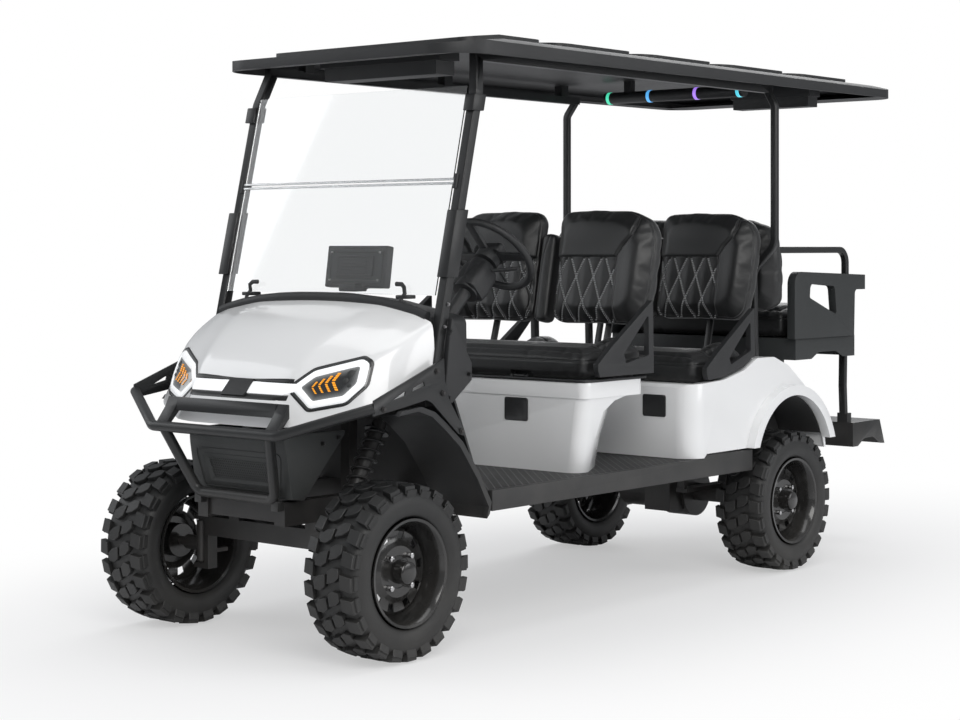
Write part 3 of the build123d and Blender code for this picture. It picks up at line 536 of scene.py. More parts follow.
wall = disc.modifiers.new("wall", "SOLIDIFY")
wall.thickness = 0.005
wall.offset = 0
bpy.ops.object.modifier_apply(modifier="wall")
hub = spin_section("hub", [
    (0.000, 0.0600), (0.040, 0.0600), (0.046, 0.0560), (0.048, 0.0400), (0.094, 0.0370), (0.097, 0.0345),
    (0.099, 0.0300), (0.099, 0.0010), (0.000, 0.0010)], 40)
rim = join("rim", [barrel, disc, hub])
nuts = []
for k in range(4):
    bpy.ops.object.select_all(action="DESELECT")
    bpy.ops.mesh.primitive_cone_add(vertices=6, radius1=0.0105, radius2=0.0100, depth=0.020,
                                    location=(0, 0, 0))
    nut = bpy.context.object
    bpy.ops.object.mode_set(mode="EDIT")
    bpy.ops.mesh.select_all(action="SELECT")
    bpy.ops.mesh.bevel(offset=0.0015, segments=2, affect="EDGES")
    bpy.ops.transform.rotate(value=pi / 2, orient_axis="Y", center_override=(0, 0, 0))
    angle = 2 * pi * (k + 0.5) / 4
    bpy.ops.transform.translate(value=(0.057, 0.0690 * cos(angle), 0.0690 * sin(angle)))
    bpy.ops.object.mode_set(mode="OBJECT")
    nuts.append(nut)
nuts = join("nuts", nuts)

for corner, side, y in [("front_left", 1, -1.535), ("front_right", -1, -1.535),
                        ("rear_left", 1, 0.870), ("rear_right", -1, 0.870)]:
    for master, kind, slot, material in [(tyre, "tyre", "tyre", rubber), (rim, "rim", "rim", rim_paint),
                                         (nuts, "nuts", "steel", bright_nut)]:
        piece = bpy.data.objects.new(kind + "_" + corner + "_wheel", master.data.copy())
        bpy.context.collection.objects.link(piece)
        piece.location = (side * 0.513, y, TYRE_R)
        if side < 0:
            piece.rotation_euler = (0, 0, pi)
        finish(piece, "wheel_" + corner, slot, material, smooth=32)
        if kind != "nuts":
            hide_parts(kind + "_" + corner)
for master in (tyre, rim, nuts):
    bpy.data.objects.remove(master)
# ---------------------------------------------------------------- windshield
# Two clear panes with a pale hinge rail between them, held by hooks on the posts. The black trim
# below them rounds off the back of the hood from post to post.
AXLE = 1.535      # the front axle is this far ahead of the origin, and y is often given from it
clear_pane = grained("clear_pane", (0.93, 0.945, 0.95), (0.97, 0.975, 0.98), 30.0, 0.0, (0.015, 0.05),
                     dust_amount=0.0, Transmission_Weight=1.0, IOR=1.45)
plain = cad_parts["windshield"].data.materials
plain.clear()
plain.append(clear_pane)
rail_clear = grained("hinge_rail", (0.62, 0.65, 0.66), (0.80, 0.82, 0.83), 60.0, 0.02, (0.12, 0.22),
                     share=0.5, dust_amount=0.0, Transmission_Weight=0.55, IOR=1.45)


def post_line(z):
    """Front of the panes at a height."""
    return 0.170 - AXLE + (z - 0.862) * 0.237 - 0.021


def strip(name, rows, width, depth):
    """A round-edged strip along a run of (x, y, z) points: a curve with a flat oval section."""
    curve = bpy.data.curves.new(name, "CURVE")
    curve.dimensions = "3D"
    spline = curve.splines.new("POLY")
    spline.points.add(len(rows) - 1)
    for point, place in zip(spline.points, rows):
        point.co = (*place, 1)
    shape = bpy.data.curves.new(name + "_section", "CURVE")
    shape.dimensions = "2D"
    ring = shape.splines.new("POLY")
    ring.points.add(15)
    ring.use_cyclic_u = True
    for k, point in enumerate(ring.points):
        angle = 2 * pi * k / 16
        point.co = (width / 2 * cos(angle), depth / 2 * sin(angle), 0, 1)
    section = bpy.data.objects.new(name + "_section", shape)
    curve.bevel_mode = "OBJECT"
    curve.bevel_object = section
    curve.use_fill_caps = True
    made = bpy.data.objects.new(name, curve)
    bpy.context.collection.objects.link(made)
    bpy.context.view_layer.update()
    mesh = bpy.data.meshes.new_from_object(made.evaluated_get(bpy.context.evaluated_depsgraph_get()))
    bpy.data.objects.remove(made)
    bpy.data.objects.remove(section)
    piece = bpy.data.objects.new(name, mesh)
    bpy.context.collection.objects.link(piece)
    return piece


for k, z in enumerate((1.5835, 1.5975)):
    rows = [(x, post_line(z) - 0.001, z) for x in (-0.520, -0.25, 0.25, 0.520)]
    finish(strip("hinge_rail_%d" % k, rows, 0.008, 0.009), "root", "clear", rail_clear)
for side in (-1, 1):
    rows = [(side * 0.531, post_line(z) + 0.003, z) for z in (1.566, 1.578, 1.604, 1.615)]
    finish(strip("hinge_end_%s" % ("left" if side > 0 else "right"), rows, 0.020, 0.016), "root",
           "black_plastic",
           moulded)
# hooks that carry the lower pane on the hood's trim
for side in (-1, 1):
    rows = [(side * 0.385, -1.336, 1.166), (side * 0.385, -1.330, 1.186), (side * 0.385, -1.312, 1.204),
            (side * 0.385, -1.3155, 1.226), (side * 0.372, -1.3130, 1.236), (side * 0.345, -1.3125, 1.2365)]
    finish(strip("pane_hook_%s" % ("left" if side > 0 else "right"), rows, 0.016, 0.012), "root",
           "black_plastic",
           moulded)

# the hood's rear trim follows the back edge of the cowl
crown = [(0.0, 1.181), (0.10, 1.180), (0.20, 1.176), (0.302, 1.167), (0.39, 1.153), (0.468, 1.136),
         (0.512, 1.122)]
run = [(-x, z) for x, z in reversed(crown[1:])] + crown
finish(strip("hood_trim", [(x, -1.338, z + 0.006) for x, z in run], 0.030, 0.036), "root", "black_plastic",
       moulded)

# ---------------------------------------------------------------- headlamps and light band
# Each lamp is a smoky lens with a white light guide round it and amber chevrons inside, laid on the cowl,
# with painted shade in the gap round it; the lens is painted lighter beside the guide and darker deeper in
# the lamp. A white band with painted-shade gaps above and below joins the two, with a bare block in it.
from mathutils.bvhtree import BVHTree
shell = bpy.data.objects["front_cowl_shell"]
skin = BVHTree.FromPolygons([v.co for v in shell.data.vertices],
                            [p.vertices[:] for p in shell.data.polygons])


def on_cowl(x, z, lift):
    """The cowl's surface straight behind a point seen from the front, and lift above it."""
    place, normal, *_ = skin.ray_cast(Vector((x, -3.0, z)), Vector((0, 1, 0)))
    if place is None:
        place, normal, *_ = skin.find_nearest(Vector((x, -1.70, z)))
    if normal.y > 0:
        normal.negate()
    return place + normal * lift


def inset_corners(corners, distance):
    """Corners of a convex outline, given clockwise from the front, moved in by a distance."""
    moved = []
    for k, here in enumerate(corners):
        a, b, c = Vector(corners[k - 1]), Vector(here), Vector(corners[(k + 1) % len(corners)])
        first, second = (b - a).normalized(), (c - b).normalized()
        n1, n2 = Vector((first.y, -first.x)), Vector((second.y, -second.x))
        along = (n1 + n2) / (1 + n1.dot(n2))
        moved.append(b + along * distance)
    return moved


def rounded(corners, radii, arc=6, straight=7):
    """Closed outline with round corners, the same number of points for any size."""
    points = []
    ends = []
    for k, here in enumerate(corners):
        a, b, c = Vector(corners[k - 1]), Vector(here), Vector(corners[(k + 1) % len(corners)])
        back, ahead = (a - b).normalized(), (c - b).normalized()
        half = back.angle(ahead) / 2
        reach = radii[k] / max(0.2, abs(cos(half)) / max(0.01, sin(half))) ** -1
        reach = min(reach, (a - b).length * 0.45, (c - b).length * 0.45)
        ends.append((b + back * reach, b, b + ahead * reach))
    for k, (start, middle, stop) in enumerate(ends):
        for step in range(arc + 1):
            t = step / arc
            points.append(start * (1 - t) ** 2 + middle * 2 * t * (1 - t) + stop * t ** 2)
        following = ends[(k + 1) % len(ends)][0]
        for step in range(1, straight):
            points.append(stop.lerp(following, step / straight))
    return points


def laid_rings(name, rings, cap=True):
    """Faces between outlines laid on the cowl; rings are (points, lift, material, painted shade), the last
    kept on each vertex as the depth attribute: 0 is painted light beside the light guide, 1 is painted shade
    deep in the lamp.
    """
    made = bmesh.new()
    painted_shade_layer = made.verts.layers.float.new("depth")
    loops = []
    for points, lift, slot_number, depth in rings:
        loop = []
        for point in points:
            vertex = made.verts.new(on_cowl(point.x, point.y, lift))
            vertex[painted_shade_layer] = depth
            loop.append(vertex)
        loops.append(loop)
    for k in range(1, len(loops)):
        for j in range(len(loops[k])):
            face = made.faces.new((loops[k - 1][j - 1], loops[k - 1][j], loops[k][j], loops[k][j - 1]))
            face.material_index = rings[k][2]
    if cap:
        face = made.faces.new(loops[-1])
        face.material_index = rings[-1][2]
        bmesh.ops.triangulate(made, faces=[face])
    bmesh.ops.recalc_face_normals(made, faces=made.faces)
    mesh = bpy.data.meshes.new(name)
    made.to_mesh(mesh)
    made.free()
    piece = bpy.data.objects.new(name, mesh)
    bpy.context.collection.objects.link(piece)
    if sum(p.normal.y for p in mesh.polygons) > 0:
        mesh.flip_normals()
    return piece


def glowing(name, low, high, strength, scale):
    """A light guide: a soft glow that varies a little along it."""
    material = new_material(name, high, 0.25, Coat_Weight=0.3)
    nodes = material.node_tree
    place = add_node(nodes, "TexCoord")
    cloud = add_node(nodes, "TexNoise", ("Vector", place.outputs["Object"]), Scale=scale, Detail=2.0)
    ramp = add_node(nodes, "MixRGB", ("Fac", cloud.outputs["Fac"]), Color1=(*low, 1), Color2=(*high, 1))
    shader = nodes.nodes["Principled BSDF"]
    nodes.links.new(ramp.outputs[0], shader.inputs["Base Color"])
    nodes.links.new(ramp.outputs[0], shader.inputs["Emission Color"])
    shader.inputs["Emission Strength"].default_value = strength
    return material


light_guide = glowing("light_guide", (0.80, 0.81, 0.82), (0.92, 0.93, 0.94), 0.42, 30.0)
amber = glowing("amber_diode", (0.75, 0.20, 0.01), (1.0, 0.48, 0.03), 0.55, 160.0)
smoky = new_material("smoky_lens", (0.03, 0.033, 0.034), 0.10, Coat_Weight=1.0, Coat_Roughness=0.03)
nodes = smoky.node_tree
# the depth attribute read here holds the painted shade of each lens ring: 0 beside the light guide, 1 deep
# in the lamp
depth = add_node(nodes, "Attribute", attribute_name="depth")
place = add_node(nodes, "TexCoord")
ribs = add_node(nodes, "TexWave", ("Vector", place.outputs["Object"]), Scale=60.0, Distortion=1.0,
                Detail=1.0)
# painted light and shade: the lens is painted light grey beside the light guide and near black deeper in the
# lamp
shade = add_node(nodes, "MixRGB", ("Fac", depth.outputs["Fac"]), Color1=(0.30, 0.31, 0.31, 1),
                 Color2=(0.018, 0.020, 0.021, 1))
fine = add_node(nodes, "MixRGB", ("Fac", ribs.outputs["Fac"]), ("Color1", shade.outputs[0]),
                Color2=(0.04, 0.043, 0.044, 1))
fine.blend_type = "MULTIPLY"
soft = add_node(nodes, "MixRGB", ("Color1", shade.outputs[0]), ("Color2", fine.outputs[0]), Fac=0.25)
nodes.links.new(soft.outputs[0], nodes.nodes["Principled BSDF"].inputs["Base Color"])
# black for the panel bolts and shield screws; on the lamp rims, the strips by the light band and the face
# behind the grille cells it is painted shade standing in for gaps
black_and_painted_gap_shade = grained("black_and_painted_gap_shade", (0.006, 0.0062, 0.0065), (0.014, 0.0145, 0.015), 500.0, 0.1, (0.35, 0.25),
                    dust_amount=0.05)

lamp_corners = [(0.222, 0.893), (0.292, 0.958), (0.440, 1.000), (0.474, 0.985), (0.480, 0.905),
                (0.440, 0.845), (0.318, 0.820)]
corner_radii = [0.010, 0.050, 0.030, 0.026, 0.040, 0.036, 0.030]
# each ring: inset, lift above the cowl, material (0 painted shade for the gap round the lamp, 1 smoky lens,
# 2 light guide), and painted shade on the smoky lens (0 painted light beside the light guide, 1 painted
# shade deep in the lamp)
lamp_rings = [(-0.004, -0.002, 0, 0.9), (-0.003, 0.002, 0, 0.9), (0.002, 0.003, 0, 0.9),
              (0.003, 0.0015, 1, 1.0),
              (0.008, 0.0015, 1, 0.8), (0.009, 0.003, 2, 0.0), (0.014, 0.006, 2, 0.0),
              (0.026, 0.006, 2, 0.0),
              (0.031, 0.0028, 2, 0.0), (0.032, 0.0018, 1, 0.0), (0.038, 0.0018, 1, 0.45),
              (0.046, 0.0020, 1, 0.80), (0.054, 0.0022, 1, 1.0)]
for label, side in (("left", 1), ("right", -1)):
    rings = []
    for inset, lift, slot_number, lens_painted_shade in lamp_rings:
        corners = inset_corners(lamp_corners, inset)
        outline = rounded(corners, [max(0.006, r - inset * 0.5) for r in corner_radii])
        rings.append(([Vector((p.x * side, p.y)) for p in outline], lift, slot_number, lens_painted_shade))
    middle = sum((p for p in rings[-1][0]), Vector((0, 0))) / len(rings[-1][0])
    for scale in (0.66, 0.33):
        rings.append(([middle + (p - middle) * scale for p in rings[12][0]], 0.0024, 1, 1.0))
    piece = laid_rings("headlamp_" + label, rings)
    finish(piece, "root", "lamp_lens", black_and_painted_gap_shade, smoky, light_guide, smooth=40)
    # four amber chevrons, larger outwards, and a small cluster of reflectors
    made = bmesh.new()
    for k in range(4):
        x, z, tall, wide = 0.309 + 0.0215 * k, 0.896 + 0.0070 * k, 0.0195 + 0.0030 * k, 0.0062 + 0.0012 * k
        arms = [((x + 0.010, z + tall), (x, z + 0.002)), ((x, z), (x + 0.020, z - tall))]
        for (xa, za), (xb, zb) in arms:
            for part in range(4):
                t0, t1 = part / 4 + 0.03, (part + 1) / 4 - 0.03
                quad = []
                for t, across in ((t0, 0), (t1, 0), (t1, wide), (t0, wide)):
                    px, pz = xa + (xb - xa) * t + across, za + (zb - za) * t
                    quad.append(made.verts.new(on_cowl(px * side, pz, 0.0040)))
                made.faces.new(quad)
    mesh = bpy.data.meshes.new("chevrons")
    made.to_mesh(mesh)
    made.free()
    chevrons = bpy.data.objects.new("amber_chevrons_" + label, mesh)
    bpy.context.collection.objects.link(chevrons)
    wall = chevrons.modifiers.new("wall", "SOLIDIFY")
    wall.thickness = 0.0016
    wall.offset = 0
    finish(chevrons, "root", "lamp_lens", amber, smooth=0)
    made = bmesh.new()
    for cx, cz, r in ((0.4235, 0.945, 0.0115), (0.415, 0.922, 0.0085), (0.430, 0.906, 0.0065)):
        loop = []
        for step in range(14):
            angle = 2 * pi * step / 14
            loop.append(made.verts.new(on_cowl((cx + r * cos(angle)) * side, cz + r * sin(angle), 0.0026)))
        tip = made.verts.new(on_cowl(cx * side, cz, 0.0075))
        for step in range(14):
            made.faces.new((loop[step - 1], loop[step], tip))
    mesh = bpy.data.meshes.new("reflectors")
    made.to_mesh(mesh)
    made.free()
    reflectors = bpy.data.objects.new("lamp_reflectors_" + label, mesh)
    bpy.context.collection.objects.link(reflectors)
    finish(reflectors, "root", "lamp_lens", grey_moulded, smooth=30)
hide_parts("headlamps")


def laid_strip(name, stations, lift, edge=0.0015):
    """A strip across the cowl from rows of (x, low, high), raised by lift with rounded edges."""
    made = bmesh.new()
    rows = []
    for x, low, high in stations:
        row = []
        for t, rise in ((0, -0.002), (0, lift - edge), (0.08, lift), (0.5, lift + 0.001), (0.92, lift),
                        (1, lift - edge), (1, -0.002)):
            row.append(made.verts.new(on_cowl(x, low + (high - low) * t, rise)))
        rows.append(row)
    for k in range(1, len(rows)):
        for j in range(1, len(rows[k])):
            made.faces.new((rows[k - 1][j - 1], rows[k][j - 1], rows[k][j], rows[k - 1][j]))
    for end in (rows[0], rows[-1]):
        made.faces.new(end)
    bmesh.ops.recalc_face_normals(made, faces=made.faces)
    mesh = bpy.data.meshes.new(name)
    made.to_mesh(mesh)
    made.free()
    piece = bpy.data.objects.new(name, mesh)
    bpy.context.collection.objects.link(piece)
    return piece


across = [-0.238 + 0.476 * k / 28 for k in range(29)]
reaching = [-0.254 + 0.508 * k / 30 for k in range(31)]
band = laid_strip("light_band", [(x, 0.869 + 0.014 * max(0, abs(x) - 0.225) / 0.03, 0.906)
                                 for x in reaching], 0.0064)
finish(band, "root", "lamp_lens", light_guide, smooth=40)
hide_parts("light_bar")
# painted shade: dark strips laid on the cowl above and below the band, where the gaps there fall in shade
shade_strip_above = laid_strip("band_painted_shade_upper", [(x, 0.905, 0.915 + 0.008 * min(1, abs(x) / 0.2)) for x in across],
                     0.0022)
finish(shade_strip_above, "root", "black_plastic", black_and_painted_gap_shade, smooth=40)
shade_strip_below = laid_strip("band_painted_shade_lower", [(x, 0.853, 0.870) for x in across], 0.0022)
finish(shade_strip_below, "root", "black_plastic", black_and_painted_gap_shade, smooth=40)
block = laid_strip("band_centre_block", [(x, 0.858, 0.914)
                                         for x in (-0.056, -0.053, -0.03, 0, 0.03, 0.053, 0.056)],
                   0.0110, 0.003)
finish(block, "root", "black_plastic", moulded, smooth=40)
# ---------------------------------------------------------------- front panel, grille and fasteners
# The grey lower panel has a groove round a sunk frame, and a perforated grille with hexagonal
# holes inside it. Dome-headed bolts hold the guard plates, the shields and the panel's sides.


def on_panel(x, z, lift):
    """A point on the panel's sloping face, and lift in front of it."""
    return Vector((x, -1.742 + (0.711 - z) * 0.183 - lift, z))


def new_piece(name, made):
    """Turn a bmesh into a piece with its faces turned outwards."""
    bmesh.ops.recalc_face_normals(made, faces=made.faces)
    mesh = bpy.data.meshes.new(name)
    made.to_mesh(mesh)
    made.free()
    piece = bpy.data.objects.new(name, mesh)
    bpy.context.collection.objects.link(piece)
    return piece


# frame: rings from the window's edge down to the grille, each (half width above, below, z, z, lift)
made = bmesh.new()
loops = []
for above, below, top, foot, lift in [(0.178, 0.155, 0.656, 0.554, -0.001),
                                      (0.176, 0.153, 0.654, 0.556, 0.0022),
                                      (0.171, 0.149, 0.650, 0.560, 0.0020),
                                      (0.159, 0.140, 0.641, 0.569, -0.0042),
                                      (0.156, 0.138, 0.639, 0.571, -0.0045),
                                      (0.155, 0.137, 0.638, 0.572, -0.0056)]:
    corners = [Vector(p) for p in ((-above, top), (above, top), (below, foot), (-below, foot))]
    outline = rounded(corners, [0.010] * 4, arc=4, straight=6)
    loops.append([made.verts.new(on_panel(p.x, p.y, lift)) for p in outline])
for k in range(1, len(loops)):
    for j in range(len(loops[k])):
        made.faces.new((loops[k - 1][j - 1], loops[k - 1][j], loops[k][j], loops[k][j - 1]))
made.faces.new(loops[-1]).material_index = 1      # painted shade: a dark face behind the cells, where the holes fall in shade
frame_piece = new_piece("grille_frame", made)
finish(frame_piece, "root", "grey_plastic", grey_moulded, black_and_painted_gap_shade, smooth=30)

# grille: hexagonal cells, each a six-sided hole in a six-sided plate
made = bmesh.new()
pitch = 0.0098
for row in range(-4, 5):
    for column in range(-17, 18):
        x = (column + (0.5 if row % 2 else 0)) * pitch
        z = 0.605 + row * pitch * 0.866
        if abs(x) > 0.148 - (0.641 - z) * 0.22:
            continue
        outer = []
        inner = []
        for k in range(6):
            angle = radians(60 * k + 30)
            for ring, size, sink in ((outer, pitch / 1.732, 0.0036), (inner, 0.0036, 0.0042)):
                spot = on_panel(x + size * cos(angle), z + size * sin(angle), -sink)
                ring.append(made.verts.new(spot))
        for k in range(6):
            made.faces.new((outer[k - 1], outer[k], inner[k], inner[k - 1]))
bmesh.ops.remove_doubles(made, verts=made.verts, dist=0.0002)
grille = new_piece("grille_mesh", made)
wall = grille.modifiers.new("wall", "SOLIDIFY")
wall.thickness = 0.0012
finish(grille, "root", "grey_plastic", grey_moulded, smooth=0)

# groove round the frame: a thin raised bead, closed
bead_corners = [Vector(p) for p in ((-0.212, 0.672), (0.212, 0.672), (0.186, 0.540), (-0.186, 0.540))]
bead_line = rounded(bead_corners, [0.022] * 4, arc=6, straight=6)
bead_line.append(bead_line[0])
bead = strip("panel_bead", [on_panel(p.x, p.y, 0.0008) for p in bead_line], 0.0045, 0.0045)
finish(bead, "root", "grey_plastic", grey_moulded, smooth=50)


def bolts(name, body, rows, radius, material):
    """Dome-headed hexagon bolts; rows are (place, outward direction)."""
    made = bmesh.new()
    for place, way in rows:
        turn = Vector(way).normalized().to_track_quat("Z", "Y").to_matrix().to_4x4()
        spot = Matrix.Translation(Vector(place)) @ turn
        for sides, low, high, size, top in ((20, -0.001, 0.0016, 1.35, 1.30), (6, 0.0016, 0.0062, 1.0, 0.96),
                                            (6, 0.0062, 0.0080, 0.96, 0.55)):
            bmesh.ops.create_cone(made, cap_ends=True, segments=sides, radius1=radius * size,
                                  radius2=radius * top, depth=high - low,
                                  matrix=spot @ Matrix.Translation((0, 0, (low + high) / 2)))
    finish(new_piece(name, made), body, "steel", material, smooth=30)


for side in (1, -1):
    label = "left" if side > 0 else "right"
    out = (side, 0, 0)
    bolts("guard_bolts_" + label, "root", [
        ((side * 0.5985, 0.182 - AXLE, 0.874), out), ((side * 0.5985, 0.277 - AXLE, 0.740), out),
        ((side * 0.5985, 0.150 - AXLE, 0.950), out), ((side * 0.5985, -0.110 - AXLE, 0.838), out)], 0.0078,
        cast_iron)
    bolts("panel_bolts_" + label, "root", [((side * 0.2515, -0.040 - AXLE, 0.699), out),
                                          ((side * 0.2575, 0.030 - AXLE, 0.715), out)], 0.0062, black_and_painted_gap_shade)
    bolts("post_screws_" + label, "root", [((side * 0.5645, post_line(1.094) + 0.022, 1.094), out),
                                           ((side * 0.5645, post_line(1.170) + 0.022, 1.170), out)], 0.0050,
          bare_steel)
    bolts("shield_screws_" + label, "root", [((side * 0.5855, 0.232 - AXLE, 1.080), out),
                                             ((side * 0.5855, 0.330 - AXLE, 0.930), out),
                                             ((side * 0.5855, 0.225 - AXLE, 0.855), out)], 0.0060, black_and_painted_gap_shade)

# ---------------------------------------------------------------- body trims
# A dark ledge strip round the top of the seat box, and square caps over the service openings.
ledge_line = []
for x, y, turn in [(0.5535, 1.412, 0), (0.5535, 1.066, 0), (0.543, 1.038, 0), (0.516, 1.0265, 0)]:
    ledge_line.append((x, y - AXLE, 0.8655))
full_line = ledge_line + [(-x, y, z) for x, y, z in reversed(ledge_line)]
finish(strip("seat_ledge", full_line, 0.010, 0.012), "root", "black_plastic", moulded)


def rounded_plate(name, centre, wide, tall, radius, thick):
    """A plate with round corners and a soft rim, standing on the plane y = its own."""
    made = bmesh.new()
    corners = [Vector(p) for p in ((-wide / 2, tall / 2), (wide / 2, tall / 2), (wide / 2, -tall / 2),
                                   (-wide / 2, -tall / 2))]
    loops = []
    for inset, lift in ((0, -0.002), (0, thick - 0.0015), (0.0015, thick), (0.006, thick),
                        (0.008, thick - 0.001)):
        line = rounded(inset_corners(corners, inset), [radius] * 4, arc=5, straight=3)
        loops.append([made.verts.new((centre[0] + p.x, centre[1] - lift, centre[2] + p.y)) for p in line])
    for k in range(1, len(loops)):
        for j in range(len(loops[k])):
            made.faces.new((loops[k - 1][j - 1], loops[k - 1][j], loops[k][j], loops[k][j - 1]))
    made.faces.new(loops[-1])
    return new_piece(name, made)


finish(rounded_plate("cap_front_row", (0.222, 1.0315 - AXLE, 0.748), 0.114, 0.088, 0.010, 0.003), "root",
       "black_plastic", moulded, smooth=30)
finish(rounded_plate("cap_second_row", (0.405, 1.6815 - AXLE, 0.730), 0.112, 0.088, 0.010, 0.003), "root",
       "black_plastic", moulded, smooth=30)

# floor mat with a raised diamond grid, and the same grid on the toe board
diamond, diamond_in, diamond_out = build_group(
    "diamond_grid", [("Pitch", "Float", 0.024)], [("Mask", "Float", None)])
place = add_node(diamond, "TexCoord")
split = add_node(diamond, "SeparateXYZ", (0, place.outputs["Object"]))
ways = []
for sign in ("ADD", "SUBTRACT"):
    run = add_node(diamond, "Math", (0, split.outputs["X"]), (1, split.outputs["Y"]), operation=sign)
    cell = add_node(diamond, "Math", (0, run.outputs[0]), (1, diamond_in.outputs["Pitch"]),
                    operation="PINGPONG")
    share = add_node(diamond, "Math", (0, cell.outputs[0]), (1, diamond_in.outputs["Pitch"]),
                     operation="DIVIDE")
    line = add_node(diamond, "MapRange", ("Value", share.outputs[0]), From_Min=0.80, From_Max=0.97)
    ways.append(line)
both = add_node(diamond, "Math", (0, ways[0].outputs[0]), (1, ways[1].outputs[0]), operation="MAXIMUM")
diamond.links.new(both.outputs[0], diamond_out.inputs["Mask"])
mat_rubber = grained("mat_rubber", (0.010, 0.0102, 0.0105), (0.02, 0.02, 0.021), 600.0, 0.3, (0.62, 0.5),
                     dust_top=0.8, dust_amount=0.10)
nodes = mat_rubber.node_tree
grid = add_node(nodes, "Group", node_tree=diamond)
grid.inputs["Pitch"].default_value = 0.019
shader = nodes.nodes["Principled BSDF"]
old = shader.inputs["Base Color"].links[0].from_socket
lines = add_node(nodes, "MixRGB", ("Fac", grid.outputs["Mask"]), ("Color1", old),
                 Color2=(0.085, 0.088, 0.09, 1))
nodes.links.new(lines.outputs[0], shader.inputs["Base Color"])
relief = add_node(nodes, "Bump", ("Height", grid.outputs["Mask"]),
                  ("Normal", shader.inputs["Normal"].links[0].from_socket), Strength=0.8, Distance=0.002)
nodes.links.new(relief.outputs[0], shader.inputs["Normal"])
made = bmesh.new()
mat_rows = [(0.262, 0.8900), (0.428, 0.5230), (0.440, 0.5215), (1.755, 0.5215), (1.758, 0.5175)]
columns = []
for x in (-0.556, -0.550, 0.550, 0.556):
    drop = 0.003 if abs(x) > 0.552 else 0
    columns.append([made.verts.new((x, y - AXLE, z - drop)) for y, z in mat_rows])
for k in range(1, len(columns)):
    for j in range(1, len(columns[k])):
        made.faces.new((columns[k - 1][j - 1], columns[k][j - 1], columns[k][j], columns[k - 1][j]))
mat = new_piece("floor_mat", made)
finish(mat, "root", "black_plastic", mat_rubber, smooth=30)
if sum(p.normal.z for p in mat.data.polygons) < 0:
    mat.data.flip_normals()

# coil springs round the front dampers
for side in (1, -1):
    start, stop = Vector((side * 0.285, 0.030 - AXLE, 0.455)), Vector((side * 0.285, 0.188 - AXLE, 0.724))
    way = (stop - start).normalized()
    across_way = Vector((1, 0, 0))
    up_way = way.cross(across_way)
    rows = []
    for k in range(9 * 14 + 1):
        angle = 2 * pi * k / 14
        t = k / (9 * 14)
        rows.append(start.lerp(stop, t) + (across_way * cos(angle) + up_way * sin(angle)) * 0.036)
    spring = strip("coil_spring_" + ("left" if side > 0 else "right"), rows, 0.0095, 0.0095)
    finish(spring, "root", "black_metal", powder, smooth=60)
    made = bmesh.new()
    for point in (start - way * 0.004, stop + way * 0.004):
        turn = way.to_track_quat("Z", "Y").to_matrix().to_4x4()
        bmesh.ops.create_cone(made, cap_ends=True, segments=28, radius1=0.044, radius2=0.044, depth=0.006,
                              matrix=Matrix.Translation(point) @ turn)
    seat = new_piece("spring_seats_" + ("left" if side > 0 else "right"), made)
    finish(seat, "root", "black_metal", powder, smooth=30)
# ---------------------------------------------------------------- seats
# Every pad is black vinyl. It starts as a slightly small closed form, is remeshed, blown up as
# cloth, and then gets its folds, seams and sewn channels, with double rows of pale stitches.
vinyl = grained("black_vinyl", (0.0095, 0.0100, 0.0105), (0.017, 0.0175, 0.018), 620.0, 0.42, (0.44, 0.34),
                share=0.6, dust_amount=0.02, Sheen_Weight=0.15, Sheen_Roughness=0.4)
thread = grained("pale_thread", (0.52, 0.53, 0.54), (0.36, 0.37, 0.38), 900.0, 0.5, (0.75, 0.6), share=0.7,
                 dust_amount=0.0)


